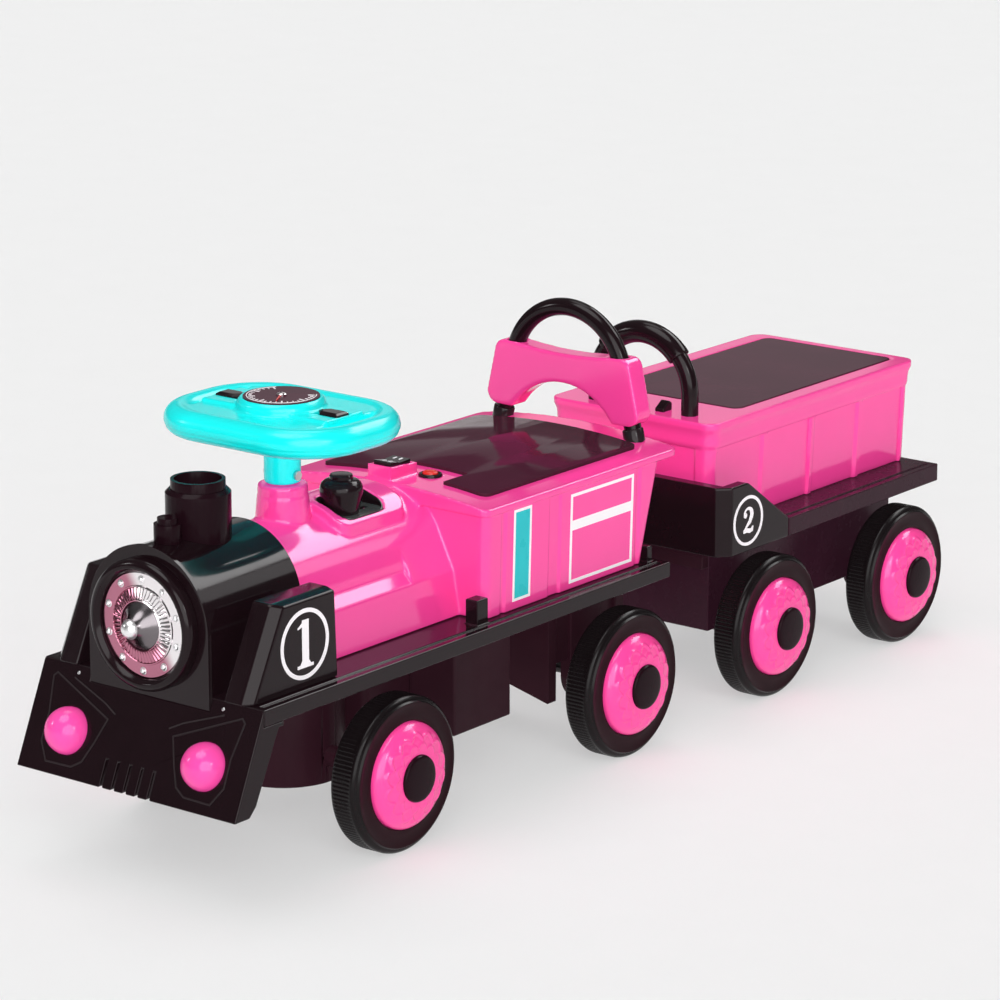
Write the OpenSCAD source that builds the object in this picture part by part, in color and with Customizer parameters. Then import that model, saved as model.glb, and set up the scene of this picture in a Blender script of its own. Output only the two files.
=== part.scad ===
// Ride-on toy locomotive with a coupled tender trailer, for a small child.
// The train looks along -Y, +Z is up, and the origin lies on the floor under the middle of the train.
// Inside the modules y = 0 is the front axle; train() moves everything to the origin.

/* [Wheels] */
// Tyre diameter
tyre_d = 134; // [116:1:146]
// Tyre width
tyre_w = 29; // [27:1:34]
// Diameter of the coloured hub disc
hub_d = 91; // [80:1:100]
// How far the hub disc is domed
hub_dome = 12; // [8:1:14]
// Diameter of the centre cap
cap_d = 40; // [34:1:46]
// Height of the centre cap above the hub dome
cap_rise = 4; // [2:1:6]
// Distance between the middles of a left and a right tyre
track = 235; // [230:1:244]
// Axle rod diameter
axle_d = 10; // [8:1:12]
// Distance between the locomotive's axles
wheelbase = 317; // [310:1:340]
// Distance between the trailer's axles
trailer_wheelbase = 219; // [180:1:260]

/* [Locomotive deck] */
// Width of the running board
deck_w = 240; // [232:1:260]
// Height of the board's edge
deck_t = 14; // [11:1:20]
// Gap between a tyre's top and the board
arch_gap = 14; // [12:1:22]
// Length of the board ahead of the front axle
deck_front = 163; // [163:1:175]
// Length of the board behind the rear axle
deck_rear_overhang = 69; // [67:1:85]
// Thickness of the board's top skin
deck_skin = 4; // [3:0.5:6]
// Width of the board's rim under the skin
deck_rim = 8; // [6:1:12]
// Height of the tabs that hold the body's front corners
clip_h = 22; // [14:1:28]

/* [Front skirt] */
// Height of the raked front skirt
skirt_h = 85; // [78:1:88]
// How far the skirt's foot reaches ahead of its top
skirt_run = 37; // [30:1:45]
// Wall of the skirt
skirt_wall = 6; // [4:0.5:8]
// Depth of the skirt's side cheeks
cheek_depth = 26; // [18:1:34]
// Diameter of the round front lamps
lamp_d = 40; // [30:1:46]
// How far a front lamp stands out
lamp_rise = 19; // [10:1:20]
// Distance between the front lamps
lamp_spacing = 150; // [120:1:170]
// Number of grille slots
grille_slots = 5; // [3:1:7]

/* [Smokebox and headlamp] */
// Smokebox radius
smokebox_r = 63; // [62:0.5:65]
// Height of the smokebox axis above the board
smokebox_rise = 51; // [46:1:56]
// Length of the smokebox
smokebox_len = 117; // [112:1:119]
// Radius of the headlamp's bezel
bezel_r = 55; // [52:1:58]
// How far the bezel stands out
bezel_depth = 12; // [8:1:14]
// Radius of the bright headlamp disc
lens_r = 44; // [38:1:47]
// Number of rivets round the headlamp
rivets = 10; // [6:1:14]

/* [Chimney and whistle] */
// Chimney body diameter
chimney_d = 54; // [46:1:60]
// Chimney neck diameter
chimney_neck_d = 45; // [38:1:47]
// Height of the chimney's body above the smokebox top
chimney_body_h = 37; // [28:1:42]
// Height of the chimney's neck
chimney_neck_h = 8; // [5:1:14]
// Whistle diameter
whistle_d = 23; // [16:1:26]
// Height of the whistle above the smokebox top
whistle_h = 20; // [12:1:26]

/* [Number boxes] */
// Width of a number box
number_w = 27; // [20:1:27]
// Height of a number box
number_h = 76; // [60:1:80]
// Length of a number box at its top
number_top = 69; // [55:1:72]
// Length of a number box at its foot
number_foot = 108; // [98:1:110]

/* [Boiler and cab] */
// Boiler radius
boiler_r = 61; // [56:1:61]
// Height of the boiler axis above the board
boiler_rise = 45; // [41:1:46]
// Width of the boiler's foot on the board
boiler_foot_w = 154; // [140:1:158]
// Wall of the moulded body
body_wall = 4; // [3:0.5:5]
// Width of the cab at its foot
cab_foot_w = 207; // [200:1:209]
// Width of the cab under its roof
cab_top_w = 212; // [210:1:216]
// Width of the roof
roof_w = 224; // [222:1:232]
// Height of the roof's edge above the board
roof_edge_h = 99; // [96:1:106]
// Rise of the roof from its edge to its middle
roof_crown = 9; // [7:0.5:12]
// Thickness of the roof's edge
roof_lip = 6.5; // [5:0.5:8]
// How far the cab's foot ends ahead of the board's rear end
cab_setback = 19; // [13:1:22]
// How far the rear wall leans back
cab_lean = 24; // [16:1:26]

/* [Seat and backrest] */
// Width of the seat panel
seat_w = 182; // [160:1:190]
// Free roof behind the seat panel
seat_setback = 33; // [33:1:50]
// Thickness of the seat panel
seat_t = 3; // [2:0.5:4]
// Diameter of the backrest's tube
tube_d = 16; // [13:1:18]
// Height of the tube's arch above the roof
arch_h = 115; // [105:1:125]
// Radius of the tube's arch
arch_r = 62; // [58:1:66]
// How far the tube's legs lean outwards, in degrees
leg_lean = 13; // [8:1:16]
// Thickness of the backrest
backrest_t = 22; // [20:1:26]
// Height of the backrest
backrest_h = 61; // [58:1:66]
// Width of the backrest at its top
backrest_top_w = 152; // [148:1:160]
// Width of the backrest at its foot
backrest_foot_w = 170; // [168:1:182]

/* [Steering] */
// Width of the steering wheel
steer_w = 198; // [196:1:212]
// Length of the steering wheel
steer_len = 147; // [138:1:156]
// Diameter of the steering wheel's rim
rim_d = 25; // [22:1:26]
// Corner radius of the rim's centre line
rim_corner = 48; // [40:1:52]
// Height of the rim's middle above the boiler's top
rim_rise = 81; // [76:1:90]
// Diameter of the steering wheel's socket
socket_d = 31; // [26:1:36]
// Diameter of the moulded column foot on the boiler
column_foot_d = 45; // [40:1:46]
// Diameter of the column foot at its top
column_top_d = 35; // [33:1:39]
// Height of the column foot above the boiler's top
column_foot_h = 28; // [22:1:32]
// Diameter of the steering rod
rod_d = 12; // [10:1:14]
// How far the steering turns to each side, in degrees
steer_limit = 25; // [18:1:28]
// Diameter of the steering wheel's badge
badge_d = 64; // [54:1:68]
// Length of a steering wheel button
horn_len = 26; // [20:1:27]
// Width of a steering wheel button
horn_w = 16; // [12:1:18]
// Travel of a steering wheel button
horn_travel = 2; // [1:0.5:2.5]

/* [Controls] */
// Diameter of the shift lever's knob
knob_d = 37; // [35:1:40]
// Travel of the shift lever
shift_travel = 20; // [12:1:22]
// Width of the shift lever's recess
recess_w = 38; // [36:1:40]
// Length of the rocker switch
rocker_len = 26; // [22:1:28]
// Width of the rocker switch
rocker_w = 19; // [15:1:20]
// Diameter of the push button
push_d = 19; // [14:1:21]
// Travel of the push button
push_travel = 3; // [2:0.5:4]

/* [Battery box] */
// Width of the battery box
battery_w = 172; // [150:1:174]
// Length of the battery box
battery_len = 78; // [70:1:80]
// Depth of the battery box below the board
battery_h = 88; // [75:1:92]

/* [Hitch] */
// Distance from the board's rear end to the hitch pin
hitch_reach = 42; // [40:1:55]
// Diameter of the hitch pin
pin_d = 12; // [10:1:14]
// Thickness of the tongue and of the drawbar
hitch_t = 12; // [10:1:14]

/* [Trailer] */
// Distance from the hitch pin to the trailer's front board
trailer_gap = 42; // [42:1:55]
// Distance from the front board to the trailer's front axle
trailer_nose = 72; // [70:1:80]
// Length of the trailer behind its rear axle
trailer_tail = 70; // [68:1:80]
// Height of the front board above the deck
board_h = 48; // [40:1:56]
// Thickness of the front board
board_t = 12; // [8:1:14]
// Length of the front board's sloping cheeks
cheek_len = 104; // [96:1:112]
// Height of the trailer's box
box_h = 101; // [90:1:105]
// Width of the trailer's box at its lip
box_w = 188; // [180:1:196]
// Height of the box's lip
lip_h = 21; // [16:1:26]
// How far the lip stands out
lip_out = 4; // [3:0.5:6]
// Wall of the trailer's box
box_wall = 4; // [3:0.5:5]
// Number of upright ribs on a side
box_ribs = 4; // [3:1:5]
// Width of the trailer's seat panel
trailer_seat_w = 148; // [130:1:156]
// Length of the trailer's seat panel
trailer_seat_len = 264; // [240:1:266]
// Distance between the legs of the trailer's handle
handle_w = 106; // [96:1:116]
// Height of the handle's arch centre above the box
handle_rise = 18; // [10:1:26]
// Diameter of the handle's grip sleeve
grip_d = 21; // [19:1:25]
// Reach of the grip sleeve to each side of the handle's top, in degrees
grip_reach = 50; // [35:1:60]

/* [Fits] */
// Radial clearance of a shaft in its bore
run_gap = 0.06; // [0.02:0.01:0.1]
// Clearance between fixed pieces
seat_gap = 0.2; // [0.1:0.05:0.3]
// Clearance beside moving pieces
move_gap = 0.5; // [0.3:0.1:0.8]

/* [Hidden] */
$fn = 64;

// Colours
pink = [1.0, 0.36, 0.68];
black = [0.07, 0.06, 0.065];
cyan = [0.12, 0.85, 0.86];
maroon = [0.2, 0.1, 0.13];
bright = [0.8, 0.8, 0.82];
steel = [0.6, 0.6, 0.62];
red = [0.75, 0.08, 0.1];

// A little more than nothing, to run cuts past a face
past = 1;

// Wheels: lengths along the axle count from the middle of the tyre, outwards
tyre_r = tyre_d / 2;
tyre_h = tyre_w / 2;
hub_r = hub_d / 2;
cap_r = cap_d / 2;
axle_r = axle_d / 2;
axle_bore_r = axle_r + run_gap;
axle_z = tyre_r;
wheel_x = track / 2;
tyre_in = wheel_x - tyre_h;
shoulder_r = 6;
hub_sink = 9;
web_out = tyre_h - hub_sink;
web_in = -4;
wheel_boss_r = axle_r + 9;
tyre_band = 14;
rim_in_r = tyre_r - tyre_band;
collar_r = axle_r + 4;
collar_t = 3;
collar_x = wheel_x + web_out + move_gap + collar_t / 2;
axle_tip = 5;
axle_half = collar_x + collar_t / 2 + axle_tip;
cap_sink = 4;
cap_floor = tyre_h + hub_dome - cap_sink;
bush_r = axle_r + 4;
bush_end = tyre_in - move_gap;

// Locomotive deck
deck_bottom = tyre_d + arch_gap;
deck_top = deck_bottom + deck_t;
deck_rear = wheelbase + deck_rear_overhang;
pan_z = deck_top - deck_skin;
groove_w = 3;
groove_depth = 2;
groove_in = 7;
clip_in = 8;
clip_w = 13;
clip_len = 15;
tab_gap = 5;
tab_w = 9;
tab_len = 7;
tab_h = 14;
body_seat = deck_top + seat_gap;

// Front skirt, whose face runs straight from the board's front edge to its foot
skirt_bottom = deck_top - skirt_h;
skirt_slope = skirt_run / skirt_h;
skirt_rake = atan(skirt_slope);
skirt_back = -deck_front - seat_gap;
skirt_foot = skirt_back - skirt_run;
flange_t = 4;
flange_len = 24;
lamp_rise_z = 35;
lamp_z = skirt_bottom + lamp_rise_z;
lamp_stem_r = 8;
lamp_sink = 2;
grille_pitch = 13;
grille_w = 3;
grille_h = 22;

// Smokebox, bezel and headlamp
smokebox_z = deck_top + smokebox_rise;
plate_t = 3.8;
plate_drop = 10;
smokebox_front = -deck_front - seat_gap - plate_t;
smokebox_rear = smokebox_front + smokebox_len;
smokebox_wall = 4;
smokebox_top = smokebox_z + smokebox_r;
flange_out = 2;
plate_r = smokebox_r + flange_out;
plate_bottom = deck_top - plate_drop;
lens_t = 6;
lens_back = smokebox_front - seat_gap;
rivet_r = 2.8;
rivet_rise = 2.5;
rivet_ring = lens_r - 7;
flute_r = lens_r * 0.59;
cone_r = lens_r * 0.42;

// Chimney and whistle
chimney_y = -104;
chimney_wall = 3;
whistle_y = -141;
whistle_cap_h = 5;

// Number boxes
number_ledge = 13;
number_out = deck_w / 2 - number_ledge;
number_in = number_out - number_w;
number_rear = -62;
number_front = number_rear - number_foot;
number_rear_lean = 3;
number_top_rear = number_rear - number_rear_lean;
number_top_front = number_top_rear - number_top;
number_top_z = body_seat + number_h;
number_wall = 3;

// Boiler and cab
boiler_z = deck_top + boiler_rise;
boiler_top = boiler_z + boiler_r;
boiler_front = smokebox_rear + seat_gap;
cab_front = 138;
cab_foot_rear = deck_rear - cab_setback;
cab_top_rear = cab_foot_rear + cab_lean;
roof_edge_z = deck_top + roof_edge_h;
roof_under = roof_edge_z - roof_lip;
roof_top = roof_edge_z + roof_crown;
roof_arc_r = (pow(roof_w / 2, 2) + pow(roof_crown, 2)) / (2 * roof_crown);
roof_arc_z = roof_top - roof_arc_r;
eaves_front = 8;
eaves_rear = 17;
roof_front = cab_front - eaves_front;
roof_rear = cab_top_rear + eaves_rear;

// Seat panel and the notch that it leaves free for the controls
switch_room = 26;
seat_front = roof_front + switch_room;
seat_rear = roof_rear - seat_setback;
seat_len = seat_rear - seat_front;
switch_x = -7;
wedge_w = 26;
push_x = 19;
push_r = push_d / 2;
notch_edge = 2;
push_room = 17;
notch_depth = 34;
notch_from = switch_x - wedge_w / 2 - notch_edge;
notch_to = push_x + push_r + push_room;
notch_rear = seat_front + notch_depth;

// Backrest and its bent tube
tube_r = tube_d / 2;
arch_z = roof_top + arch_h - tube_r - arch_r;
tube_back = 17;
tube_y = seat_rear + tube_back;
leg_depth = 22;
leg_foot_z = roof_under - leg_depth;
leg_len = (arch_z + arch_r * sin(leg_lean) - leg_foot_z) / cos(leg_lean);
leg_boss_wall = 5;
leg_boss_floor = 4;
leg_boss_r = tube_r + leg_boss_wall;
leg_step = 0.1;
leg_sunk = 2;
backrest_lift = 9;
backrest_z = roof_top + backrest_lift;
backrest_top_z = backrest_z + backrest_h;
backrest_arch_w = 112;
backrest_arch_rise = 30;

// Steering
rod_r = rod_d / 2;
rod_bore_r = rod_r + run_gap;
column_top = boiler_top + column_foot_h;
socket_bottom = column_top + move_gap;
rim_r = rim_d / 2;
rim_z = boiler_top + rim_rise;
rim_x = steer_w / 2 - rim_r;
rim_y = steer_len / 2 - rim_r;
rim_top = rim_z + rim_r;
horn_rim = 1.5;
block_drop = 7;
block_rise = 1;
hub_ring_wall = 5;
hub_ring_rise = 8.5;
block_floor = rim_z - block_drop;
block_top = rim_top + block_rise;
hub_ring_r = badge_d / 2 + hub_ring_wall;
hub_ring_top = rim_top + hub_ring_rise;
badge_t = 2.5;
rod_end_drop = 12;
rod_top = rim_z - rod_end_drop;
horn_set = 3;
horn_x = hub_ring_r + horn_set + horn_len / 2;
block_edge = 0.5;
block_w = 2 * (horn_x + horn_len / 2 + horn_rim + block_edge);
block_ridge_w = 48;
block_edge_drop = 2;
hub_bevel = 4;
hub_lip = 2;
horn_depth = 8;
horn_rise = 2.5;
bolt_rise = 8;
bolt_z = column_top + bolt_rise;
bolt_r = 2.5;
bolt_head_r = 4;
bolt_head_t = 2;

// Front yoke: a drum that turns with the steering rod and carries the front axle
bearing_wall = 8;
bearing_h = 26.5;
bearing_r = rod_r + bearing_wall;
bearing_bottom = deck_bottom - bearing_h;
yoke_top = bearing_bottom - move_gap;
yoke_t = 6;
drum_r = 50;
drum_wall = 6;
drum_drop = 22;
drum_bottom = axle_z - drum_drop;
yoke_boss_h = 20;
rod_foot_room = 4;

// Shift lever on its saddle pad
pad_rise = 8;
pad_half = 45;
pad_front = 22;
pad_rear = 111;
knob_x = 22;
knob_r = knob_d / 2;
neck_side = 1.5;
neck_r = knob_r - neck_side;
recess_front = 30;
recess_depth = 8;
recess_end_gap = 2;
recess_floor = boiler_top - recess_depth;
recess_len = 2 * (neck_r + recess_end_gap) + shift_travel;
knob_y = recess_front + neck_r + recess_end_gap;
gate_t = 2.5;
gate_top = recess_floor + gate_t;
gate_slot_w = 10;
recess_side = knob_x - recess_w / 2;
gate_side = knob_x - gate_slot_w / 2;
lever_stem_w = 8;
lever_stem_len = 12;
lever_depth = 14;
block_wall = 4;

// Rocker switch on its wedge
wedge_in = 3;
wedge_len = 36;
wedge_front = roof_front + wedge_in;
wedge_rear = wedge_front + wedge_len;
wedge_rise = 12;
wedge_fall = 2;
wedge_slope = atan(wedge_fall / wedge_len);
rocker_y = (wedge_front + wedge_rear) / 2;
rocker_z = roof_top + wedge_rise - wedge_fall / 2;
rocker_depth = 9;
rocker_end_gap = 1.2;
rocker_pivot = -4;
rocker_rise = 3;
rocker_pin_r = 2;
rocker_pin_len = 1.5;

// Push button beside the rocker switch
push_back = 38;
push_y = wedge_front + push_back;
push_rise = 5.5;
push_depth = 12;

// Battery box
battery_gap = 3.2;
battery_front = (wheel_x + tyre_h) * sin(steer_limit) + tyre_r * cos(steer_limit) + battery_gap;
battery_wall = 3;
battery_top = pan_z - seat_gap;

// Rear underframe, hitch tongue and pin
frame_half = 78;
frame_cheek = 12;
frame_top = pan_z - seat_gap;
frame_reach = 55;
frame_front = wheelbase - frame_reach;
frame_rear = wheelbase + frame_reach;
frame_plate = 20;
end_wall_mid = 20;
end_wall_drop = 16;
end_wall_rise = 14;
end_wall_low = axle_z - end_wall_drop;
end_wall_high = end_wall_low + end_wall_rise;
carrier_half = 22;
hitch_y = deck_rear + hitch_reach;
tongue_top = deck_bottom - seat_gap;
tongue_bottom = tongue_top - hitch_t;
hitch_half = 22;
pin_r = pin_d / 2;
pin_head_r = pin_r + 4;
pin_head_t = 4;
drawbar_top = tongue_bottom - move_gap;
drawbar_bottom = drawbar_top - hitch_t;

// Trailer
trailer_front = hitch_y + trailer_gap;
trailer_axle_1 = trailer_front + trailer_nose;
trailer_axle_2 = trailer_axle_1 + trailer_wheelbase;
trailer_rear = trailer_axle_2 + trailer_tail;
trailer_deck_more = 3;
trailer_deck_t = deck_t + trailer_deck_more;
trailer_deck_z = deck_top - trailer_deck_t;
trailer_half = deck_w / 2;
board_chamfer = 11;
board_back = trailer_front + board_t;
cheek_t = 12;
cheek_top = 36;
board_top = deck_top + board_h;
under_half = 80;
under_nose = 40;
under_tail = 46;
under_front = trailer_axle_1 - under_nose;
under_rear = trailer_axle_2 + under_tail;
under_t = 83;
under_wall = 8;
box_gap = 3;
box_ledge = 2;
box_front = board_back + box_gap;
box_rear = trailer_rear - box_ledge;
box_seat = deck_top + seat_gap;
box_top = box_seat + box_h;
box_half = box_w / 2;
box_foot_in = 3;
panel_sink = 2;
rib_w = 10;
inlay_t = 2;
trailer_seat_margin = 12;
trailer_seat_rear = box_rear - trailer_seat_margin;
trailer_seat_front = trailer_seat_rear - trailer_seat_len;
handle_r = handle_w / 2;
handle_in = 22;
handle_y = box_front + handle_in;
handle_z = box_top + handle_rise;
handle_depth = 24;
handle_boss_wall = 4;
handle_foot_z = box_top - handle_depth;
handle_boss_r = tube_r + handle_boss_wall;
grip_r = grip_d / 2;

// The whole train, from the skirt's foot to the trailer's end
front_axle_y = -(skirt_foot + trailer_rear) / 2;

// Points along an arc, as a list
function arc(centre, r, from, to, steps = 8) =
    [for (i = [0:steps]) let (a = from + (to - from) * i / steps) centre + r * [cos(a), sin(a)]];

// Point where a straight side from p touches a circle round c, on the side away from the middle
function touch(p, c, r) =
    let (d = p - c, len = norm(d), turn = acos(r / len), a = atan2(d[1], d[0]) + turn)
    c + r * [cos(a), sin(a)];

// Placing helpers
module train() {
    translate([0, front_axle_y, 0]) children();
}

// A flat outline in X and Z, drawn out along Y
module along_y(from, to) {
    translate([0, to, 0]) rotate([90, 0, 0]) linear_extrude(to - from) children();
}

// A flat outline in Y and Z, drawn out along X
module along_x(from, to) {
    translate([from, 0, 0]) rotate([90, 0, 90]) linear_extrude(to - from) children();
}

// A piece made for the +X side, and its twin on the other side
module both_sides() {
    children();
    mirror([1, 0, 0]) children();
}

// A turned piece on a wheel's axle; side is 1 on the left of the train and -1 on its right
module on_wheel(side, y) {
    train() translate([side * wheel_x, y, axle_z]) rotate([0, side * 90, 0])
        rotate_extrude($fn = 96) children();
}

// A rectangle with round corners, centred
module round_rect(w, h, r) {
    square([w - 2 * r, h], center = true);
    square([w, h - 2 * r], center = true);
    for (x = [-1, 1], y = [-1, 1]) translate([x * (w / 2 - r), y * (h / 2 - r)]) circle(r);
}

// Wheels
module tyre(side, y) {
    color(black) on_wheel(side, y) polygon(concat(
        [[axle_bore_r, -tyre_h], [wheel_boss_r, -tyre_h], [wheel_boss_r, web_in],
            [rim_in_r, web_in], [rim_in_r, -tyre_h]],
        arc([tyre_r - shoulder_r, shoulder_r - tyre_h], shoulder_r, -90, 0),
        arc([tyre_r - shoulder_r, tyre_h - shoulder_r], shoulder_r, 0, 90),
        [[hub_r + seat_gap, tyre_h], [hub_r + seat_gap, web_out], [axle_bore_r, web_out]]));
}

module hub(side, y) {
    steps = 8;
    seat_r = cap_r + seat_gap;
    dome = [for (i = [0:steps]) let (a = 90 * i / steps)
        [seat_r + (hub_r - seat_r) * cos(a), tyre_h + hub_dome * sin(a)]];
    color(pink) on_wheel(side, y) polygon(concat(
        [[collar_r + past, web_out + seat_gap], [hub_r, web_out + seat_gap]],
        dome,
        [[seat_r, cap_floor], [collar_r + past, cap_floor]]));
}

module cap(side, y) {
    edge = 2;
    top = tyre_h + hub_dome + cap_rise;
    color(black) on_wheel(side, y) polygon(concat(
        [[0, cap_floor + seat_gap], [cap_r, cap_floor + seat_gap]],
        arc([cap_r - edge, top - edge], edge, 0, 90, 5),
        [[0, top]]));
}

// A rod with a push-on collar outside each wheel
module axle_rod(y) {
    translate([0, y, axle_z]) rotate([0, 90, 0]) {
        cylinder(r = axle_r, h = 2 * axle_half, center = true);
        for (s = [-1, 1]) translate([0, 0, s * collar_x]) cylinder(r = collar_r, h = collar_t, center = true);
    }
}

// Bushes that reach from a carrier to the wheels
module bushes(y, from) {
    both_sides() translate([from, y, axle_z]) rotate([0, 90, 0]) cylinder(r = bush_r, h = bush_end - from);
}

module axle_bore(y) {
    translate([0, y, axle_z]) rotate([0, 90, 0]) cylinder(r = axle_bore_r, h = track, center = true);
}

// A carrier's cheek, round at its lower end
module cheek(y, from, thick, top, half) {
    both_sides() along_x(from - thick, from) {
        translate([y - half, axle_z]) square([2 * half, top - axle_z]);
        translate([y, axle_z]) circle(r = half);
    }
}

// Locomotive deck, with its rim, edge groove, steering bearing and body tabs
module chassis_deck() {
    length = deck_front + deck_rear;
    groove_x = deck_w / 2 - groove_in - groove_w;
    color(black) train() difference() {
        union() {
            difference() {
                translate([-deck_w / 2, -deck_front, deck_bottom]) cube([deck_w, length, deck_t]);
                translate([deck_rim - deck_w / 2, deck_rim - deck_front, deck_bottom - past])
                    cube([deck_w - 2 * deck_rim, length - 2 * deck_rim, pan_z - deck_bottom + past]);
                both_sides() translate([groove_x, groove_in - deck_front, deck_top - groove_depth])
                    cube([groove_w, length - 2 * groove_in, groove_depth + past]);
            }
            translate([0, 0, bearing_bottom]) cylinder(r = bearing_r, h = pan_z - bearing_bottom + past);
            both_sides() {
                translate([cab_foot_w / 2 - clip_in, cab_front - seat_gap - clip_len, deck_top - past])
                    cube([clip_w, clip_len, clip_h + past]);
                translate([cab_foot_w / 2 - clip_in, cab_foot_rear + tab_gap, deck_top - past])
                    cube([tab_w, tab_len, tab_h + past]);
            }
        }
        translate([0, 0, bearing_bottom - past])
            cylinder(r = rod_bore_r, h = deck_top - bearing_bottom + 2 * past);
    }
}

// Rear axle carrier with the hitch tongue
module underframe() {
    color(black) train() difference() {
        union() {
            translate([-frame_half, frame_front, frame_top - frame_plate])
                cube([2 * frame_half, frame_rear - frame_front, frame_plate]);
            // End walls, lower beside the wheels than in the middle
            for (y = [frame_front, frame_rear - frame_cheek]) along_y(y, y + frame_cheek) polygon([
                [-frame_half, frame_top], [frame_half, frame_top], [frame_half, end_wall_low],
                [end_wall_mid, end_wall_high], [-end_wall_mid, end_wall_high], [-frame_half, end_wall_low]]);
            cheek(wheelbase, frame_half, frame_cheek, frame_top, carrier_half);
            bushes(wheelbase, frame_half - past);
            translate([-hitch_half, frame_rear - past, tongue_bottom])
                cube([2 * hitch_half, hitch_y + past - frame_rear, hitch_t]);
            translate([0, hitch_y, tongue_bottom]) cylinder(r = hitch_half, h = hitch_t);
        }
        axle_bore(wheelbase);
        translate([0, hitch_y, tongue_bottom - past]) cylinder(r = pin_r + run_gap, h = hitch_t + 2 * past);
    }
}

module rear_axle() {
    color(steel) train() axle_rod(wheelbase);
}

module hitch_pin() {
    color(steel) train() translate([0, hitch_y, 0]) {
        translate([0, 0, drawbar_bottom - pin_head_t])
            cylinder(r = pin_r, h = tongue_top + pin_head_t - drawbar_bottom);
        translate([0, 0, tongue_top + seat_gap]) cylinder(r = pin_head_r, h = pin_head_t);
        translate([0, 0, tongue_top - past]) cylinder(r = pin_r, h = 2 * past);
        translate([0, 0, drawbar_bottom - move_gap - pin_head_t]) cylinder(r = pin_head_r, h = pin_head_t);
    }
}

// Places a piece square to the skirt's face, z outwards, at a height z and a distance x from the middle
module on_skirt(x, z) {
    translate([x, skirt_back - (deck_top - z) * skirt_slope, z]) rotate([90 - skirt_rake, 0, 0]) children();
}

module front_skirt() {
    half = deck_w / 2;
    face = function (z) skirt_back - (deck_top - z) * skirt_slope;
    wall_run = skirt_wall / cos(skirt_rake);
    under = deck_bottom - seat_gap;
    corner = 8;
    color(black) train() difference() {
        union() {
            along_x(-half, half) polygon([
                [skirt_back, deck_top], [skirt_foot, skirt_bottom], [skirt_foot + wall_run, skirt_bottom],
                [face(deck_bottom) + wall_run, under], [skirt_back, under]]);
            both_sides() along_x(half - skirt_wall, half) polygon([
                [face(deck_bottom), under], [skirt_foot, skirt_bottom],
                [skirt_foot + cheek_depth - corner, skirt_bottom],
                [skirt_foot + cheek_depth, skirt_bottom + corner], [face(deck_bottom) + cheek_depth, under]]);
            translate([-half, skirt_back, under - flange_t]) cube([deck_w, flange_len, flange_t]);
        }
        for (s = [-1, 1]) on_skirt(s * lamp_spacing / 2, lamp_z) {
            translate([0, 0, -lamp_sink]) cylinder(r = lamp_d / 2 + seat_gap, h = lamp_sink + past);
            translate([0, 0, -2 * skirt_wall]) cylinder(r = lamp_stem_r + seat_gap, h = 2 * skirt_wall);
        }
        // Notch for the foot of the smokebox's front plate
        translate([-plate_r - seat_gap, skirt_foot, plate_bottom - seat_gap])
            cube([2 * (plate_r + seat_gap), skirt_run + past, plate_drop + 2 * past]);
        for (i = [0:grille_slots - 1]) let (x = (i - (grille_slots - 1) / 2) * grille_pitch - grille_w / 2)
            translate([x, skirt_foot - past, skirt_bottom - past])
                cube([grille_w, skirt_run, grille_h + past]);
    }
}

// A pair of domed lamps on stems
module front_lamps() {
    lamp_r = lamp_d / 2;
    ball_r = (lamp_r * lamp_r + lamp_rise * lamp_rise) / (2 * lamp_rise);
    color(pink) train() for (s = [-1, 1]) on_skirt(s * lamp_spacing / 2, lamp_z) {
        intersection() {
            translate([0, 0, lamp_rise - ball_r]) sphere(r = ball_r);
            translate([0, 0, -lamp_sink + seat_gap]) cylinder(r = lamp_r, h = lamp_rise + lamp_sink);
        }
        translate([0, 0, -skirt_wall]) cylinder(r = lamp_stem_r, h = skirt_wall);
    }
}

// Outline of the smokebox: a round top on straight sides that stand on a floor
module tombstone(r, floor_z) {
    difference() {
        translate([0, smokebox_z]) circle(r, $fn = 96);
        translate([-2 * r, smokebox_z - 2 * r]) square([4 * r, 2 * r]);
    }
    translate([-r, floor_z]) square([2 * r, smokebox_z - floor_z]);
}

module smokebox() {
    color(black) train() difference() {
        union() {
            along_y(smokebox_front + past, smokebox_rear) tombstone(smokebox_r, body_seat);
            along_y(smokebox_front, smokebox_front + plate_t) tombstone(plate_r, plate_bottom);
        }
        along_y(smokebox_front + plate_t, smokebox_rear + past)
            tombstone(smokebox_r - smokebox_wall, plate_bottom - past);
    }
}

// Turns a round profile about the smokebox axis, with its lengths measured forwards
module on_headlamp(y) {
    train() translate([0, y, smokebox_z]) rotate([90, 0, 0]) children();
}

module headlamp_bezel() {
    round_r = 6;
    bevel = 4;
    color(black) on_headlamp(lens_back) rotate_extrude($fn = 96) polygon(concat(
        [[lens_r + seat_gap, 0], [bezel_r, 0]],
        arc([bezel_r - round_r, bezel_depth - round_r], round_r, 0, 90),
        [[lens_r + bevel, bezel_depth], [lens_r + seat_gap, bezel_depth - bevel]]));
}

module headlamp_disc() {
    dish = 1;
    step = 2;
    tip_r = 4;
    cone_h = 8;
    color(bright) on_headlamp(lens_back) {
        rotate_extrude($fn = 96) polygon([
            [0, 0], [lens_r, 0], [lens_r, lens_t], [flute_r, lens_t - dish],
            [flute_r - step, lens_t - step - dish], [cone_r, lens_t - step - dish],
            [tip_r, lens_t + cone_h - dish], [0, lens_t + cone_h]]);
        for (i = [0:rivets - 1]) rotate([0, 0, 360 * (i + 0.5) / rivets])
            translate([rivet_ring, 0, lens_t - past])
                cylinder(r1 = rivet_r, r2 = rivet_r / 2, h = rivet_rise + past, $fn = 24);
    }
}

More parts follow.
